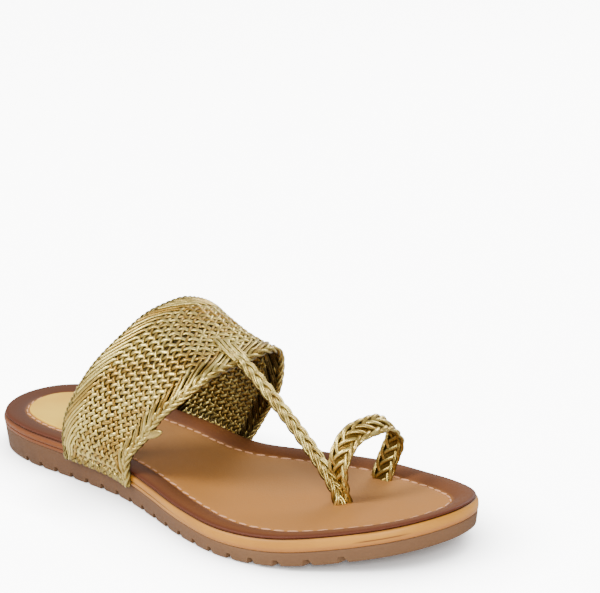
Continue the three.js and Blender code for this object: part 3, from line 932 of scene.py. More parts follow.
@dataclass
class Midsole:
    """The honey layer with its rounded side, fine steps and the cup that the footbed lies in."""

    last: Last
    rounding: float = 1.05
    under_inset: float = 3.0
    lip_inset: float = 3.2
    cup_inset: float = 6.0
    cup_sink: float = 2.76
    # The steps in the side run from the heel to the waist and fade out in front of it
    step_end: tuple[float, float] = (0.5, 0.66)
    # On the outer side the grooves' darkening comes back as a dark line for a short way near the toe, where
    # the side is plain
    dark_line_stretch: tuple[float, float] = (0.925, 0.972)
    # Rise as a share of the thickness, inset as a share of the rounding where plain and where stepped, and
    # darkness of the painted shade in the grooves and along the seams
    side_rows: tuple[tuple[float, float, float, float], ...] = (
        (0.0, 0.75, 0.75, 0.75),
        (0.05, 0.4, 0.4, 0.2),
        (0.12, 0.2, 0.25, 0.0),
        (0.24, 0.06, 0.2, 0.0),
        (0.33, 0.0, 0.22, 0.05),
        (0.38, 0.0, 0.55, 0.9),
        (0.42, 0.0, 0.6, 0.95),
        (0.46, 0.0, 0.2, 0.3),
        (0.54, 0.0, 0.02, 0.0),
        (0.64, 0.02, 0.0, 0.0),
        (0.75, 0.12, 0.1, 0.0),
        (0.85, 0.3, 0.28, 0.0),
        (0.93, 0.55, 0.55, 0.5),
        (0.99, 1.0, 1.0, 1.0),
    )

    def build(self) -> None:
        """Models the midsole and dresses it."""
        last = self.last
        top = raised(last.rim, -last.gap / 2)
        rings = last.spines(self.under_inset, DRAWN_OUT, raised(last.seam, last.gap / 2))
        rings += [self._side_ring(*row[:3]) for row in self.side_rows]
        rings.append(last.ring(self.lip_inset, raised(top, -0.45 * self.cup_sink)))
        rings += last.spines(self.cup_inset, DRAWN_IN, raised(top, -self.cup_sink))
        # Each ring's painted shade: dark in the grooves and along the seams at the lips
        dark = [0.0] * 3 + [row[3] for row in self.side_rows] + [0.5] * 4
        rises = [0.0] * 3 + [row[0] for row in self.side_rows] + [1.0] * 4
        piece = skin_rings("midsole_body", last, rings)
        self._shade(piece, rings, dark)
        store(piece, "rise", nearest_values(piece, last, rings, rises))
        finish_piece(piece, HoneyFinish().make(), Slot.HONEY, "midsole")

    def _side_ring(self, rise: float, plain: float, stepped: float) -> np.ndarray:
        """Gives one ring of the rounded side.

        Args:
            rise: Its height as a share of the layer's thickness.
            plain: Its inset as a share of the rounding where the side is plain.
            stepped: The same where the side has steps.

        Returns:
            The ring's points.
        """
        last = self.last

        def height(x: np.ndarray) -> np.ndarray:
            """Goes from just above the seam to just under the footbed."""
            return mix(last.seam(x), last.rim(x), rise) + last.gap * (0.35 - 0.8 * rise)

        def inset(x: np.ndarray) -> np.ndarray:
            """Goes from the stepped inset to the plain one."""
            return mix(stepped, plain, self._plain_share(x)) * self.rounding

        return last.ring(inset, height)

    def _plain_share(self, x: np.ndarray) -> np.ndarray:
        """Tells how far the steps have faded out at x."""
        return smooth_step(x, *(share * self.last.length for share in self.step_end))

    def _shade(self, piece: bpy.types.Object, rings: Sequence[np.ndarray], dark: Sequence[float]) -> None:
        """Stores each vertex's painted groove shade, which fades where the side is plain.

        Args:
            piece: The midsole.
            rings: The rings that it was made from.
            dark: The darkness of the painted shade on each ring.
        """
        values = nearest_values(piece, self.last, rings, dark)
        places = np.array([tuple(v.co) for v in piece.data.vertices]) / MM - self.last.shift
        x, start, end = places[:, 0], *(share * self.last.length for share in self.dark_line_stretch)
        again = smooth_step(x, start - 2, start + 2) * smooth_step(-x, -end - 2, -end + 2)
        again = again * (places[:, 1] < 0)
        shown = np.maximum(1 - self._plain_share(x), 0.8 * again)
        store(piece, "groove", np.where(values < 0.99, values * shown, values))


def nearest_values(
    piece: bpy.types.Object, last: Last, rings: Sequence[np.ndarray], values: Sequence[float]
) -> np.ndarray:
    """Gives each vertex the value of the ring whose point it lies on.

    Args:
        piece: The piece that was skinned over the rings.
        last: The last, for the frame's place.
        rings: The rings.
        values: A value for each ring.

    Returns:
        A value for each vertex, in their order.
    """
    lookup = {}
    for ring, value in zip(rings, values):
        for point in np.round(last.metres(ring) * 1e5).astype(int):
            lookup[tuple(point)] = value
    found = np.zeros(len(piece.data.vertices))
    for k, vertex in enumerate(piece.data.vertices):
        key = tuple(int(v) for v in np.round(np.array(vertex.co) * 1e5))
        found[k] = lookup.get(key, values[-1])
    return found


@dataclass
class Footbed:
    """The leather footbed with its burnished rim and its stitched line."""

    last: Last
    thick: float = 2.4
    under_inset: float = 6.0
    # Inset, and lift above the seat on the midsole as a share of the thickness
    lower_rows: tuple[tuple[float, float], ...] = ((3.2, -0.5), (1.2, 0.0))
    # Inset and lift above the midsole's top edge, as shares of the rim's width and crown
    top_rows: tuple[tuple[float, float], ...] = (
        (0.105, -0.1),
        (0.09, 0.08),
        (0.088, 0.3),
        (0.1, 0.5),
        (0.135, 0.7),
        (0.19, 0.85),
        (0.27, 0.95),
        (0.38, 1.0),
        (0.5, 0.92),
        (0.62, 0.7),
        (0.74, 0.38),
        (0.85, 0.0),
        (0.92, -0.35),
        (0.965, -0.66),
        (1.0, -0.74),
        (1.035, -0.64),
        (1.09, -0.5),
        (1.25, -0.52),
    )
    middle_inset: float = 14.0
    middle_shares: tuple[float, ...] = (0.0, 0.35, 0.7, 1.0)
    # A stitch's length, width and height, and where the stitches' line lies against the rim
    stitch_size: tuple[float, float, float] = (4.5, 0.8, 0.65)
    stitch_pitch: float = 5.5
    stitch_inset: float = 0.2
    stitch_sink: float = 0.38
    stitch_lean: float = 0.1

    def build(self) -> None:
        """Models the footbed and its stitches."""
        last = self.last
        seat = raised(last.rim, last.gap / 2)
        rings = last.spines(self.under_inset, DRAWN_OUT, raised(seat, -1.15 * self.thick))
        insets = [self.under_inset] * len(rings)
        for inset, lift in self.lower_rows:
            rings.append(last.ring(inset, raised(seat, lift * self.thick)))
            insets.append(inset)
        for inset, lift in self.top_rows:
            height = raised(last.rim, max(lift * last.rim_crown, -last.rim_drop - 0.2) + 0.15)
            rings.append(last.ring(inset * last.rim_width, height))
            insets.append(inset * last.rim_width)
        for share in self.middle_shares:
            rings.append(last.spine(self.middle_inset, share, raised(last.rim, -last.rim_drop)))
            insets.append(self.middle_inset + 10 * share)
        piece = skin_rings("footbed_leather", last, rings)
        store(piece, "inset", nearest_values(piece, last, rings, insets))
        finish_piece(piece, FootbedFinish().make(), Slot.TAN, "footbed")
        self._stitch()

    def _one_stitch(self) -> tuple[np.ndarray, list[tuple[int, ...]]]:
        """Models one stitch at the origin from a small sphere, drawn out with fuller ends.

        Returns:
            Its points, and its faces as point numbers.
        """
        deselect_all()
        bpy.ops.mesh.primitive_uv_sphere_add(segments=8, ring_count=6, radius=0.5)
        seed = bpy.context.object
        points = np.array([tuple(v.co) for v in seed.data.vertices])
        points[:, 0] = np.sign(points[:, 0]) * np.abs(points[:, 0] * 2) ** 0.7 / 2
        faces = [tuple(p.vertices) for p in seed.data.polygons]
        bpy.data.objects.remove(seed)
        return points * np.array(self.stitch_size), faces

    def _stitch(self) -> None:
        """Lays copies of one stitch in the rim's groove, each a little different in size and lean."""
        last = self.last
        points, faces = self._one_stitch()
        ring = last.ring(last.rim_width + self.stitch_inset, raised(last.rim, -self.stitch_sink))
        line = Curve(ring, closed=True, density=4)
        count = int(line.length / self.stitch_pitch)
        rng = random.Random(11)
        vertices, polygons = [], []
        for k in range(count):
            share = np.array([(k + 0.5) / count])
            centre, forward = line.at(share)[0], line.along(share)[0]
            side = unit(np.cross([0, 0, 1], forward))
            up = np.cross(forward, side)
            lean = rng.uniform(-self.stitch_lean, self.stitch_lean) + self.stitch_lean
            forward, side = unit(forward + lean * side), unit(side - lean * forward)
            grown = points * rng.uniform(0.93, 1.06)
            start = len(vertices)
            vertices.extend(centre + grown @ np.array([forward, side, up]))
            polygons.extend(tuple(start + v for v in face) for face in faces)
        piece = mesh_piece("footbed_stitches", last, np.array(vertices), polygons)
        finish_piece(piece, ThreadFinish().make(), Slot.TAN)


def mesh_piece(
    name: str, last: Last, points: np.ndarray, faces: Sequence[Sequence[int]]
) -> bpy.types.Object:
    """Makes a smooth object from joined copies or swept strips.

    Args:
        name: The piece's name.
        last: The last, for the frame's place.
        points: The vertices in millimetres along the last.
        faces: The faces as vertex numbers.

    Returns:
        The new object.
    """
    mesh = bpy.data.meshes.new(name)
    places = [tuple(p) for p in last.metres(points)]
    mesh.from_pydata(places, [], [tuple(int(v) for v in face) for face in faces])
    mesh.validate()
    mesh.polygons.foreach_set("use_smooth", [True] * len(mesh.polygons))
    piece = bpy.data.objects.new(name, mesh)
    bpy.context.scene.collection.objects.link(piece)
    return piece


@dataclass
class HeelPatch:
    """The pale leather patch on the heel, left bare."""

    last: Last
    inset: float = 11.2
    bevel: float = 0.3
    thick: float = 0.7
    front: float = 70.0
    front_points: int = 12

    def build(self) -> None:
        """Models the patch and dresses it."""
        last = self.last
        low = raised(last.rim, last.gap - last.rim_drop)
        rings = [self._ring(self.inset, share, low) for share in DRAWN_OUT]
        rings.append(self._ring(self.inset, 0.0, raised(low, 0.7 * self.thick)))
        high = raised(low, self.thick)
        rings += [self._ring(self.inset + self.bevel, share, high) for share in (0.0, 0.03, 0.5, 1.0)]
        piece = skin_rings("heel_patch_leather", last, rings)
        finish_piece(piece, PatchFinish().make(), Slot.PALE, "heel_patch")

    def _ring(self, inset: float, share: float, height: Height) -> np.ndarray:
        """Gives the patch's outline.

        Args:
            inset: How far the outline lies inside the sole's.
            share: How far it is drawn together towards its middle.
            height: Its height as a function of x.

        Returns:
            The points: round the heel on the outer side, across the front, and back on the inner side.
        """
        last = self.last
        behind = last.ring(self.inset, height)[:, 0] < self.front - 1
        curve = last.ring(inset, height)
        half = len(curve) // 2
        x = self.front + self.inset - inset
        outer, inner = (float(last.edge(x, side)) - side.value * inset for side in Side)
        across = np.linspace(outer, inner, self.front_points)
        front = np.column_stack([np.full(len(across), x), across, np.zeros(len(across))])
        ring = np.vstack([curve[:half][behind[:half]], front, curve[half:][behind[half:]]])
        ring = mix(ring, ring.mean(axis=0), share)
        ring[:, 2] = height(ring[:, 0])
        return ring


def at_steps(value: np.ndarray | float, steps: int) -> np.ndarray:
    """Gives a number for each step of a path, from one number or an array."""
    return np.broadcast_to(np.asarray(value, float), (steps,))


def plait_share(along: np.ndarray, strips: int, lobe: float, strip: int) -> np.ndarray:
    """Tells how far one strip of a plait is through its rounds.

    Args:
        along: Places along the plait.
        strips: How many strips it has.
        lobe: The length of one strip's bow at the side.
        strip: The strip's number.

    Returns:
        The share at each place, which grows by 1 with each round.
    """
    return along / (strips * lobe) + strip / strips


@dataclass
class Strands:
    """Collects flat strips swept along paths and joins them into one piece, with a tone and painted shade on
    each vertex.
    """

    sides: int = 8
    # Painted shade on a strip's underside and on its two sides
    under_shade: float = 0.2
    side_shade: float = 0.75
    points: list[np.ndarray] = field(default_factory=list)
    faces: list[tuple[int, ...]] = field(default_factory=list)
    tones: list[np.ndarray] = field(default_factory=list)
    depths: list[np.ndarray] = field(default_factory=list)
    count: int = 0

    def add(
        self,
        path: np.ndarray,
        normals: np.ndarray,
        wide: np.ndarray | float,
        thick: np.ndarray | float,
        tone: float,
        depth: np.ndarray | float = 0.0,
        tilt: np.ndarray | float = 0.0,
    ) -> None:
        """Sweeps one strip along a path.

        Args:
            path: The strip's middle line.
            normals: The direction that the strip's face looks, at each point.
            wide: The strip's width at each point.
            thick: Its thickness at each point.
            tone: How bright the strip is, from 0 to 1.
            depth: How much painted shade each point gets for lying deep in the weave, from 0 to 1.
            tilt: How far the strip turns about its own line, in radians.
        """
        steps = len(path)
        forward = unit(np.gradient(path, axis=0))
        side = unit(np.cross(normals, forward))
        face = np.cross(forward, side)
        turn = at_steps(tilt, steps)[:, None]
        side, face = side * np.cos(turn) + face * np.sin(turn), face * np.cos(turn) - side * np.sin(turn)
        angles = 2 * np.pi * (np.arange(self.sides) + 0.5) / self.sides
        across = np.sign(np.cos(angles)) * np.abs(np.cos(angles)) ** 0.7
        lift = np.sign(np.sin(angles)) * np.abs(np.sin(angles)) ** 0.8
        aside = side[:, None] * across[None, :, None] * (at_steps(wide, steps)[:, None, None] / 2)
        above = face[:, None] * lift[None, :, None] * (at_steps(thick, steps)[:, None, None] / 2)
        self._skin(steps)
        self.points.append((path[:, None] + aside + above).reshape(-1, 3))
        # Painted shade: darker underneath and towards both sides, so that each strip reads as round
        strip_shade = np.clip(-lift, 0, 1) * self.under_shade + np.abs(across) ** 5 * self.side_shade
        self.depths.append(np.clip(strip_shade[None, :] + at_steps(depth, steps)[:, None], 0, 1).reshape(-1))
        self.tones.append(np.full(steps * self.sides, tone))
        self.count += steps * self.sides

    def _skin(self, steps: int) -> None:
        """Adds the faces of one strip, its sides and its two ends.

        Args:
            steps: The number of points on its path.
        """
        k, c = np.meshgrid(np.arange(steps - 1), np.arange(self.sides), indexing="ij")
        after = (c + 1) % self.sides
        here, there = k * self.sides, (k + 1) * self.sides
        quads = np.stack([here + c, here + after, there + after, there + c], -1)
        self.faces.extend(map(tuple, (quads.reshape(-1, 4) + self.count).tolist()))
        self.faces.append(tuple(range(self.count + self.sides - 1, self.count - 1, -1)))
        end = self.count + (steps - 1) * self.sides
        self.faces.append(tuple(range(end, end + self.sides)))

    def join(self, name: str, last: Last) -> bpy.types.Object:
        """Joins what was swept into one object with its tones and its painted shade depths."""
        piece = mesh_piece(name, last, np.vstack(self.points), self.faces)
        store(piece, "tone", np.concatenate(self.tones))
        store(piece, "depth", np.concatenate(self.depths))
        return piece


@dataclass
class Band:
    """The surface that the woven band lies on."""

    last: Last
    wall: float = 2.2
    root_wall: float = 1.4
    crown: float = 1.2
    root_flat: float = 3.0
    root_fade: float = 8.5
    # Rear edge along, across, up; front edge along, across, up
    rows: tuple[tuple[float, ...], ...] = (
        (0.284, -1, 0, 0.458, -1, 0),
        (0.29, -1.04, 0.14, 0.468, -0.98, 0.2),
        (0.303, -1.05, 0.32, 0.5, -0.83, 0.36),
        (0.321, -0.96, 0.49, 0.538, -0.73, 0.54),
        (0.34, -0.72, 0.68, 0.578, -0.57, 0.69),
        (0.363, -0.35, 0.854, 0.6, -0.33, 0.81),
        (0.374, 0, 0.961, 0.598, -0.08, 0.83),
        (0.384, 0.364, 1.01, 0.592, 0.2, 0.83),
        (0.392, 0.59, 1.021, 0.59, 0.52, 0.838),
        (0.375, 1.17, 0.87, 0.576, 0.8, 0.764),
        (0.325, 1.08, 0.55, 0.553, 0.95, 0.49),
        (0.282, 1.05, 0.22, 0.508, 1.05, 0.23),
        (0.258, 1, 0, 0.468, 1, 0),
    )

    def __post_init__(self) -> None:
        """Draws the two edges in shares stretched to about their real size."""
        self.stretch = np.array([self.last.length, self.last.waist / 2, self.last.band_rise])
        rows = np.array(self.rows, float)
        self.rear = Curve(rows[:, :3] * self.stretch)
        self.front = Curve(rows[:, 3:] * self.stretch)
        self.length = (self.rear.length + self.front.length) / 2
        self.width = float(np.linalg.norm(self.rear.at(0.5) - self.front.at(0.5)))

    def fullness(self, turn: np.ndarray) -> np.ndarray:
        """Fades the weave out where the strips are pressed flat at the roots."""
        return smooth_step(np.minimum(turn, 1 - turn) * self.length, self.root_flat, self.root_fade)

    def middle(self, turn: np.ndarray, across: np.ndarray) -> np.ndarray:
        """Gives the middle of the wall before its crown."""
        spot = mix(self.rear.at(turn), self.front.at(turn), np.asarray(across)[:, None]) / self.stretch
        wall = mix(self.root_wall, self.wall, self.fullness(turn))
        stand = self.last.gap + wall / 2
        return self.last.place(spot[:, 0], spot[:, 1], spot[:, 2], stand)

    def normal(self, turn: np.ndarray, across: np.ndarray) -> np.ndarray:
        """Gives the wall's outward direction.

        Args:
            turn: Shares of the way over the foot.
            across: Shares of the band's width.

        Returns:
            Unit directions, one per row.
        """
        nudge = 0.004
        over, back = np.minimum(turn + nudge, 1), np.maximum(turn - nudge, 0)
        ahead, behind = np.minimum(across + nudge, 1), np.maximum(across - nudge, 0)
        run = self.middle(over, across) - self.middle(back, across)
        return unit(np.cross(self.middle(turn, ahead) - self.middle(turn, behind), run))

    def point(self, turn: np.ndarray, across: np.ndarray, offset: np.ndarray | float) -> np.ndarray:
        """Gives a point off the crowned middle of the wall by an offset."""
        lift = self.crown * 4 * across * (1 - across) * self.fullness(turn) + offset
        return self.middle(turn, across) + self.normal(turn, across) * lift[:, None]


@dataclass(frozen=True)
class RimPlait:
    """The sizes of the plaited rim along one edge of the band."""

    name: str
    edge: float
    outset: float
    half_wide: float
    weave: float
    lobe: float
    strip_wide: float
    shade: float
    strip_thick: float = 1.15
    lift: float = 0.25
    strips: int = 5
    sides: int = 6


FRONT_RIM = RimPlait("band_front_rim", 1.0, -1.5, 1.8, 0.85, 3.9, 1.45, 0.0)
REAR_RIM = RimPlait("band_rear_rim", 0.0, 0.6, 0.85, 0.6, 2.4, 0.85, 0.5)


@dataclass
class WovenBand:
    """The band: one wide flat plait of narrow strips, with floats along both edges and plaited rims."""

    band: Band
    gold: bpy.types.Material
    pitch: float = 4.0
    strip_wide: float = 1.5
    strip_thick: float = 1.15
    weave_height: float = 0.7
    # The weave's height at the roots as a share of its full height, and the strips' width in the borders
    root_weave: float = 0.45
    float_wide: float = 0.82
    # How far the strips differ in height, in width as a share, and in tone
    height_play: float = 0.06
    width_play: tuple[float, float] = (0.93, 1.06)
    tones: tuple[float, float] = (0.1, 0.9)
    # A thin dark sheet of painted shade fills the weave's middle
    shade_sheet_thick: float = 0.3
    border: float = 9.0
    border_slope: float = 2.0
    top_bias: float = 0.42
    # In the front border every second strip lies wide and high, and the strips between lie low
    bold_wide: tuple[float, float] = (1.55, 0.85)
    bold_lift: tuple[float, float] = (0.2, -0.25)
    # The loose strip's end: where it starts in shares of the turn and the width, its run, and its bow
    tab_start: tuple[float, float] = (0.165, 0.95)
    tab_run: tuple[float, float, float] = (12.6, -0.6, 4.6)
    tab_bow: float = 0.8
    tab_wide: float = 3.7
    tab_face: tuple[float, float, float] = (-0.2, -0.95, 0.25)
    step: float = 0.9
    # How roundly a strip turns back at the band's edge, and how far from it the turn starts
    turn_round: float = 1.2
    turn_over: float = 2.5
    tuck_pitch: float = 2.1
    tuck_wide: float = 2.3
    # A pressed end's lean along the sole, how far outside the edge it lies, and its rise above the seam
    tuck_rows: tuple[tuple[float, float, float], ...] = (
        (2.4, 1.3, 2.7),
        (1.68, 1.7, 2.1),
        (0.72, 1.9, 1.4),
        (0.0, 1.2, 0.75),
        (0.0, -1.5, 0.65),
        (0.0, -4.5, 0.6),
    )

    def build(self) -> None:
        """Plaits the band, its rims and its tucked ends."""
        finish_piece(self._weave(), self.gold, Slot.GOLD, "upper")
        finish_piece(self._shade_sheet(), self.gold, Slot.GOLD)
        for plait in (FRONT_RIM, REAR_RIM):
            finish_piece(self._rim(plait), self.gold, Slot.GOLD)
        finish_piece(self._tab(), self.gold, Slot.GOLD)
        for side in Side:
            finish_piece(self._tuck(side), self.gold, Slot.GOLD)

    def _slope_table(self) -> tuple[np.ndarray, np.ndarray]:
        """Works out how far the strips run along the band on their way across it.

        Returns:
            Places across the band as shares, and the run at each.
        """
        across = np.linspace(0, 1, 200)
        from_edge = np.minimum(across, 1 - across) * self.band.width
        slope = mix(self.border_slope, 1.0, smooth_step(from_edge, 0.6 * self.border, 1.3 * self.border))
        steps = (slope[1:] + slope[:-1]) / 2 * np.diff(across) * self.band.width
        return across, np.concatenate([[0], np.cumsum(steps)])

    def _weave(self) -> bpy.types.Object:
        """Sweeps every strip from edge to edge and back along the band.

        Returns:
            The weave.
        """
        band = self.band
        across_table, run_table = self._slope_table()
        strips = int(round(2 * run_table[-1] / self.pitch))
        run_table = run_table * strips * self.pitch / 2 / run_table[-1]
        full = run_table[-1]
        rng = random.Random(5)
        strands = Strands()
        along = np.arange(0, band.length + self.step, self.step)
        turn = np.clip(along / band.length, 0, 1)
        for k in range(strips):
            phase = (along / (2 * full) + k / strips) % 1
            forward = phase < 0.5
            run = np.where(forward, phase, 1 - phase) * 2 * full
            edge_far = np.minimum(run, full - run)
            rounded = np.sqrt(edge_far**2 + self.turn_round**2) - 0.4 * self.turn_round
            rounded = np.where(run < full / 2, rounded, full - rounded)
            across = np.interp(rounded, run_table, across_table)
            way = np.where(forward, 1.0, -1.0) * np.clip(edge_far / self.turn_over, 0, 1)
            self._add_strip(strands, rng, k, turn, across, run, way)
        return strands.join("band_weave", band.last)

    def _add_strip(
        self,
        strands: Strands,
        rng: random.Random,
        k: int,
        turn: np.ndarray,
        across: np.ndarray,
        run: np.ndarray,
        way: np.ndarray,
    ) -> None:
        """Adds one strip of the weave, over and under the strips that cross it.

        Args:
            strands: What the strip is added to.
            rng: Draws the strip's small differences.
            k: The strip's number.
            turn: Shares of the way over the foot, at each step.
            across: Shares of the band's width, at each step.
            run: How far along its way across the band the strip is.
            way: 1 where it runs to the front, -1 where it runs to the rear, less where it turns.
        """
        band = self.band
        from_edge = np.minimum(across, 1 - across) * band.width
        field_share = smooth_step(from_edge, 0.75 * self.border, 1.1 * self.border)
        full_share = band.fullness(turn)
        bias = self.top_bias * smooth_step(turn, 0.2, 0.42) * smooth_step(1 - turn, 0.28, 0.4)
        plain = np.cos(2 * np.pi * run / self.pitch)
        float_way = np.where(across < 0.5, 1.0, -1.0)
        over = mix(float_way, plain + bias * (way - plain * np.abs(way)), field_share) * way
        bold = (1 - field_share) * smooth_step(across, 0.5, 0.6) * full_share
        height = self.weave_height * over * mix(self.root_weave, 1.0, full_share)
        height = height + rng.uniform(-self.height_play, self.height_play) + self.bold_lift[k % 2] * bold
        wide = self.strip_wide * mix(self.float_wide, 1.0 + 0.5 * bias * way, field_share)
        wide = wide * rng.uniform(*self.width_play) * mix(1.0, self.bold_wide[k % 2], bold)
        thick = self.strip_thick * mix(0.7, 1, full_share)
        # Painted shade where the strip dips under the strips that cross it
        depth = np.clip(-over, 0, 1) * mix(0.95, 0.6, field_share)
        tone = rng.uniform(*self.tones)
        tilt = (0.3 * (1 - field_share) + 0.16 * np.sin(np.pi * run / self.pitch + k)) * way
        path, normals = band.point(turn, across, height), band.normal(turn, across)
        strands.add(path, normals, wide, thick, tone, depth, tilt)

    def _shade_sheet(self) -> bpy.types.Object:
        """Closes the weave's middle with a thin dark sheet of painted shade that shows only between the
        strips.

        Returns:
            The layer.
        """
        band = self.band
        turns, shares = np.linspace(0.012, 0.988, 150), np.linspace(0.02, 0.98, 40)
        half = self.shade_sheet_thick / 2
        grid_turn, grid_share = (g.ravel() for g in np.meshgrid(turns, shares, indexing="ij"))
        layers = [band.point(grid_turn, grid_share, offset) for offset in (half, -half)]
        faces = []
        rows, columns, count = len(turns), len(shares), len(grid_turn)
        for i in range(rows - 1):
            for j in range(columns - 1):
                a, b = i * columns + j, (i + 1) * columns + j
                faces.append((a, a + 1, b + 1, b))
                faces.append((count + a, count + b, count + b + 1, count + a + 1))
        border = list(range(columns)) + [i * columns + columns - 1 for i in range(1, rows)]
        border += [(rows - 1) * columns + j for j in range(columns - 2, -1, -1)]
        border += [i * columns for i in range(rows - 2, 0, -1)]
        for a, b in zip(border, border[1:] + border[:1]):
            faces.append((b, a, count + a, count + b))
        piece = mesh_piece("band_shade_sheet", band.last, np.vstack(layers), faces)
        store(piece, "tone", np.zeros(2 * count))
        store(piece, "depth", np.ones(2 * count))
        return piece

    def _rim(self, plait: RimPlait) -> bpy.types.Object:
        """Plaits strips into a rim along one edge of the band.

        Args:
            plait: The rim's edge and sizes.

        Returns:
            The rim.
        """
        band = self.band
        curve = band.front if plait.edge else band.rear
        along = np.arange(0, curve.length, 0.5)
        turn = along / curve.length
        rng = random.Random(3)
        strands = Strands(plait.sides)
        middle = plait.edge + plait.outset / band.width
        for k in range(plait.strips):
            angle = 2 * np.pi * plait_share(along, plait.strips, plait.lobe, k)
            across = middle + plait.half_wide * np.cos(angle) / band.width
            over = -np.sin(2 * angle)
            normals = band.normal(turn, np.clip(across, 0, 1))
            path = self._beyond(turn, across) + normals * (plait.weave * over + plait.lift)[:, None]
            # Painted shade where a strip dips under the others, with the whole rim darkened by its shade
            # value
            depth = np.clip(-over, 0, 1) * 0.4 + plait.shade
            strands.add(path, normals, plait.strip_wide, plait.strip_thick, rng.uniform(0.35, 1.0), depth)
        return strands.join(plait.name, band.last)

    def _beyond(self, turn: np.ndarray, across: np.ndarray) -> np.ndarray:
        """Gives points on the wall's middle, carried straight on past its edges.

        Args:
            turn: Shares of the way over the foot.
            across: Shares of the band's width, which may lie outside 0 to 1.

        Returns:
            The points.
        """
        inside = np.clip(across, 0, 1)
        front = across > 0.5
        near = self.band.point(turn, np.where(front, 0.98, 0.02), 0.0)
        edge = self.band.point(turn, np.where(front, 1.0, 0.0), 0.0)
        past = np.abs(across - inside) * self.band.width
        return self.band.point(turn, inside, 0.0) + unit(edge - near) * past[:, None]

    def _tab(self) -> bpy.types.Object:
        """Leaves one strip's rounded end poking out under the front rim on the outer side.

        Returns:
            The strip's end.
        """
        band = self.band
        start = band.point(*np.array([self.tab_start]).T, -0.2)[0]
        steps, shoulder = 14, 9
        share = np.linspace(0, 1, steps)
        path = start + share[:, None] * np.array(self.tab_run)
        path[:, 1] -= self.tab_bow * np.sin(np.pi * share)
        wide = self.tab_wide * np.sqrt(np.clip(1 - ((share - 0.6) / 0.41) ** 2, 0.02, 1))
        wide[:shoulder] = self.tab_wide * mix(0.8, 1.0, share[:shoulder] / share[shoulder - 1])
        strands = Strands()
        strands.add(path, np.tile(self.tab_face, (steps, 1)), wide, thick=0.9, tone=0.35)
        return strands.join("band_strip_end", band.last)

    def _tuck(self, side: Side) -> bpy.types.Object:
        """Lays the pressed ends of the strips over the midsole's edge and into the seam.

        Args:
            side: The side of the sandal.

        Returns:
            The pressed ends.
        """
        band, last = self.band, self.band.last
        row = band.rows[0] if side is Side.OUTER else band.rows[-1]
        places = np.arange(row[0] * last.length + 1.2, row[3] * last.length - 1.0, self.tuck_pitch)
        strands = Strands()
        rng = random.Random(17)
        sign = side.value
        steps, fold = 16, 10
        leans, outs, rises = np.array(self.tuck_rows).T
        normals = np.tile([0.0, sign, 0.35], (steps, 1))
        normals[fold:] = [0.0, 0.3 * sign, -1.0]
        for k, x in enumerate(places):
            where = x + leans * rng.uniform(0.6, 1.2) * (1 if k % 2 else -1)
            edge = last.edge(where, side) + sign * outs
            corners = np.column_stack([where, edge, last.seam(where) + rises])
            path = Curve(corners).at(np.linspace(0, 1, steps))
            # The pressed ends are darkened evenly with the weave's painted shade, low in the seam under the
            # band
            strands.add(path, unit(normals), self.tuck_wide, 0.8, rng.uniform(0.2, 0.7), 0.4)
        return strands.join(f"band_tuck_{side.name.lower()}", last)


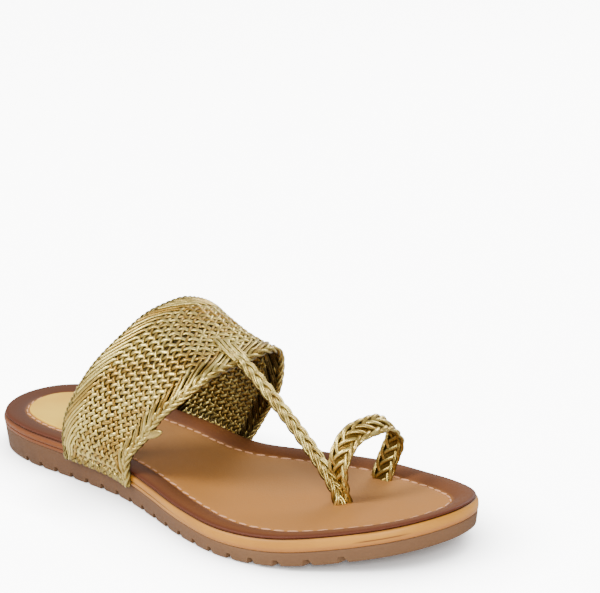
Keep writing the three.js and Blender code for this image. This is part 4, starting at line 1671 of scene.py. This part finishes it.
@dataclass
class Strap:
    """The round plaited strap from the band's top down to the toes, and the strips that lead into it."""

    band: Band
    gold: bpy.types.Material
    # Along, across and up, in the band's shares
    rows: tuple[tuple[float, float, float], ...] = (
        (0.552, 0.11, 0.895),
        (0.594, 0.1, 0.845),
        (0.652, 0.08, 0.67),
        (0.712, 0.05, 0.46),
        (0.758, 0.03, 0.285),
        (0.786, 0.02, 0.13),
        (0.791, 0.01, -0.02),
    )
    half_wide: float = 1.95
    weave: float = 1.05
    strips: int = 5
    lobe: float = 5.4
    strip_wide: float = 0.92
    strip_thick: float = 1.25
    strip_apart: float = 0.98
    lead_wide: float = 1.3
    lead_pitch: float = 1.85
    # Where each leading strip comes up through the weave, as shares of the band's width
    lead_starts: tuple[float, ...] = (0.6, 0.6, 0.63, 0.7)

    def build(self) -> None:
        """Plaits the strap and lays its leading strips."""
        last = self.band.last
        rows = np.array(self.rows)
        curve = Curve(last.place(rows[:, 0], rows[:, 1], rows[:, 2], 0.0))
        along = np.arange(0, curve.length, 0.45)
        share = along / curve.length
        centre, forward = curve.at(share), curve.along(share)
        side = unit(np.cross(forward, np.tile([0.0, 0.0, 1.0], (len(along), 1))))
        up = np.cross(side, forward)
        rng = random.Random(23)
        strands = Strands()
        taper = mix(0.5, 1.0, smooth_step(along, 0, 13)) * mix(1.0, 0.85, smooth_step(share, 0.9, 1))
        for k in range(self.strips):
            angle = 2 * np.pi * plait_share(along, self.strips, self.lobe, k)
            sway = self.half_wide * np.cos(angle) * taper
            over = -np.sin(2 * angle)
            path = centre + side * sway[:, None] + up * (self.weave * over * taper)[:, None]
            # Painted shade where a strip dips under the others
            depth = np.clip(-over, 0, 1) * 0.4
            beside = unit(np.cross(up, unit(np.gradient(path, axis=0)))) * self.strip_apart / 2
            for way in (1, -1):
                tone = rng.uniform(0.3, 1.0)
                strands.add(path + way * beside, up, self.strip_wide, self.strip_thick, tone, depth)
        finish_piece(strands.join("strap_plait", last), self.gold, Slot.GOLD)
        finish_piece(self._lead(), self.gold, Slot.GOLD)

    def _lead(self) -> bpy.types.Object:
        """Lays the strips that come up through the weave and run over the band into the strap.

        Returns:
            The strips.
        """
        band, last = self.band, self.band.last
        strands = Strands()
        rng = random.Random(29)
        turn_mid = self._turn_at(self.rows[0][1])
        for k, start in enumerate(self.lead_starts):
            spread = (k - 1.3) * self.lead_pitch / band.length
            across = np.linspace(start, 1.0, 34)
            rise = smooth_step(across, start, start + 0.16)
            turn = turn_mid + spread * mix(0.7, 1.0, rise) + 0.14 * (1 - across) ** 2 - 0.006
            path = band.point(turn, across, mix(-0.9, 1.9, rise))
            wide = self.lead_wide * mix(0.6, 1.0, rise)
            strands.add(path, band.normal(turn, across), wide, 1.1, rng.uniform(0.5, 1.0))
        return strands.join("strap_lead_strips", last)

    def _turn_at(self, across: float) -> float:
        """Finds the turn at which the band's front edge is at a share across the sole."""
        turns = np.linspace(0.2, 0.8, 300)
        shares = self.band.front.at(turns)[:, 1] / self.band.stretch[1]
        return float(np.interp(across, shares, turns))


@dataclass
class ToeLoop:
    """The flat plaited loop for the big toe."""

    band: Band
    gold: bpy.types.Material
    # The strap's foot, along and across in the band's shares, beside which the loop starts
    strap_foot: tuple[float, float] = (0.791, 0.01)
    along: float = 0.785
    lean: float = 3.0
    offset: float = 4.2
    span: float = 26.3
    rise: float = 27.4
    thick: float = 2.8
    strips: int = 9
    columns: int = 4
    lobe: float = 4.9
    half_wide: float = 4.0
    # How far the loop's face looks forward where it crosses the toe, as a slope
    face_slope: float = 0.6
    weave: float = 0.75
    # How much longer a strip lingers at the loop's sides than a plain wave would
    sway_ease: float = 0.08
    strip_wide: float = 1.6
    strip_thick: float = 1.15
    # Across as a share of the span, up as a share of the rise, and lean
    rows: tuple[tuple[float, float, float], ...] = (
        (0.0, -0.04, 0.0),
        (-0.08, 0.25, 0.0),
        (-0.1, 0.62, 0.2),
        (0.12, 0.93, 0.5),
        (0.5, 1.0, 0.8),
        (0.85, 0.93, 0.5),
        (1.06, 0.66, 0.15),
        (1.01, 0.28, -1.0),
        (0.92, -0.04, -1.7),
    )

    def _curve(self) -> Curve:
        """Draws the loop's middle line, from beside the strap's foot over the toe and down again.

        Returns:
            The line.
        """
        last = self.band.last
        x = self.along * last.length
        foot = last.place(*np.array([self.strap_foot]).T, np.zeros(1), 0.0)[0]
        start = float(foot[1]) + self.offset
        floor = float(last.rim(np.array([x]))[0]) - last.rim_drop
        top = self.rise - self.thick / 2
        points = [
            (x + lean * self.lean, start + across * self.span, floor + up * top)
            for across, up, lean in self.rows
        ]
        return Curve(np.array(points))

    def build(self) -> None:
        """Plaits the loop round a dark core strip of painted shade and dresses it."""
        curve = self._curve()
        along = np.arange(0, curve.length, 0.5)
        share = along / curve.length
        centre, forward = curve.at(share), curve.along(share)
        wide = np.tile([1.0, 0.0, -self.face_slope], (len(along), 1))
        wide = unit(wide - forward * (wide * forward).sum(1)[:, None])
        face = np.cross(wide, forward)
        rng = random.Random(31)
        strands = Strands()
        for k in range(self.strips):
            phase = plait_share(along, self.strips, self.lobe, k) % 1
            run = np.where(phase < 0.5, phase, 1 - phase) * 2
            sway = -np.cos(np.pi * (run - self.sway_ease * np.sin(2 * np.pi * run)))
            way = np.clip(np.sin(2 * np.pi * phase) * 2.2, -1, 1)
            over = np.cos(np.pi * run * self.columns) * way
            path = centre + wide * (self.half_wide * sway)[:, None] + face * (self.weave * over)[:, None]
            # Painted shade where a strip dips under the others
            depth = np.clip(-over, 0, 1) * 0.3
            strands.add(path, face, self.strip_wide, self.strip_thick, rng.uniform(0.3, 0.9), depth)
        # A dark strip of painted shade behind the plait, seen through its gaps
        strands.add(centre, face, self.half_wide * 2, thick=0.5, tone=0.0, depth=0.6)
        finish_piece(strands.join("toe_loop_plait", self.band.last), self.gold, Slot.GOLD)


@dataclass(frozen=True)
class Lamp:
    """A soft square light aimed at the sandal."""

    name: str
    place: tuple[float, float, float]
    power: float
    size: float = 0.6
    aim: tuple[float, float, float] = (0.0, 0.0, 0.02)

    def build(self) -> None:
        """Adds the light."""
        light = bpy.data.lights.new(self.name, "AREA")
        light.size = self.size
        light.energy = self.power
        piece = bpy.data.objects.new(self.name, light)
        bpy.context.scene.collection.objects.link(piece)
        piece.location = self.place
        piece.rotation_mode = "QUATERNION"
        aim = Vector(self.aim) - Vector(self.place)
        piece.rotation_quaternion = aim.to_track_quat("-Z", "Y")


@dataclass(frozen=True)
class Studio:
    """The camera, the lights and the pale floor."""

    azimuth: float = 46.69
    elevation: float = 15.25
    roll: float = -3.31
    distance: float = 746.25
    target: tuple[float, float, float] = (52.35, 6.18, 86.51)
    lens: float = 121.04
    sensor: float = 36.0
    lamps: tuple[Lamp, ...] = (
        Lamp("key_light", (-0.6, -0.9, 1.1), 27.0),
        Lamp("fill_light", (1.2, -1.0, 0.7), 27.0),
        Lamp("rim_light", (-0.2, 1.2, 0.8), 12.0),
    )
    surround: float = 0.55
    floor_tone: float = 0.9
    floor_glow: float = 9.0
    # Reach and strength of the contact shadow painted into the floor's glow
    shade_reach: float = 0.035
    shade_power: float = 2.0

    def build(self) -> None:
        """Sets the camera, lights, world and floor."""
        self._camera()
        for lamp in self.lamps:
            lamp.build()
        self._world()
        self._floor()

    def _camera(self) -> None:
        """Places the camera at the photograph's angle, rolled as it is there."""
        azimuth, elevation = math.radians(self.azimuth), math.radians(self.elevation)
        flat = math.cos(elevation)
        back = Vector((math.sin(azimuth) * flat, -math.cos(azimuth) * flat, math.sin(elevation)))
        right = Vector((0, 0, 1)).cross(back).normalized()
        up = back.cross(right)
        roll = math.radians(self.roll)
        right, up = math.cos(roll) * right + math.sin(roll) * up, math.cos(roll) * up - math.sin(roll) * right
        camera = bpy.data.cameras.new("photo_camera")
        camera.lens = self.lens
        camera.sensor_width = self.sensor
        camera.clip_start = 0.01
        camera.clip_end = 20
        piece = bpy.data.objects.new("photo_camera", camera)
        bpy.context.scene.collection.objects.link(piece)
        place = (Vector(self.target) + back * self.distance) * MM
        piece.matrix_world = Matrix.Translation(place) @ Matrix((right, up, back)).transposed().to_4x4()
        bpy.context.scene.camera = piece

    def _world(self) -> None:
        """Lights the scene evenly from a white surround."""
        world = bpy.data.worlds.new("white_surround")
        world.use_nodes = True
        background = world.node_tree.nodes["Background"]
        background.inputs["Color"].default_value = (1, 1, 1, 1)
        background.inputs["Strength"].default_value = self.surround
        bpy.context.scene.world = world

    def _floor(self) -> None:
        """Lays a pale floor that glows evenly for the camera, with a contact shadow painted into the glow by
        ambient occlusion.
        """
        deselect_all()
        bpy.ops.mesh.primitive_plane_add(size=30)
        floor = bpy.context.object
        floor.name = "pale_floor"
        material, kit, shader = new_material("pale_floor")
        shader.inputs["Base Color"].default_value = (*[self.floor_tone] * 3, 1)
        shader.inputs["Roughness"].default_value = 0.9
        shader.inputs["Emission Color"].default_value = (1.0, 1.0, 0.99, 1)
        seen = kit.add("LightPath").outputs["Is Camera Ray"]
        # Painted contact shadow: the glow dims where ambient occlusion finds the sandal close by
        near = kit.add("AmbientOcclusion", samples=16, Distance=self.shade_reach)
        open_share = kit.maths("POWER", near.outputs["AO"], self.shade_power)
        glow = kit.maths("MULTIPLY", open_share, self.floor_glow)
        kit.link(kit.maths("MULTIPLY", seen, glow), shader.inputs["Emission Strength"])
        floor.data.materials.append(material)


def main() -> None:
    """Builds the sandal's pieces in order."""
    logging.basicConfig(level=logging.INFO, format="%(name)s %(message)s")
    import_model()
    last = Last()
    band = Band(last)
    Outsole(last).build()
    Midsole(last).build()
    Footbed(last).build()
    HeelPatch(last).build()
    gold = GoldFinish().make()
    WovenBand(band, gold).build()
    Strap(band, gold).build()
    ToeLoop(band, gold).build()
    Studio().build()
    bpy.context.view_layer.update()


if __name__ == "__main__":
    main()
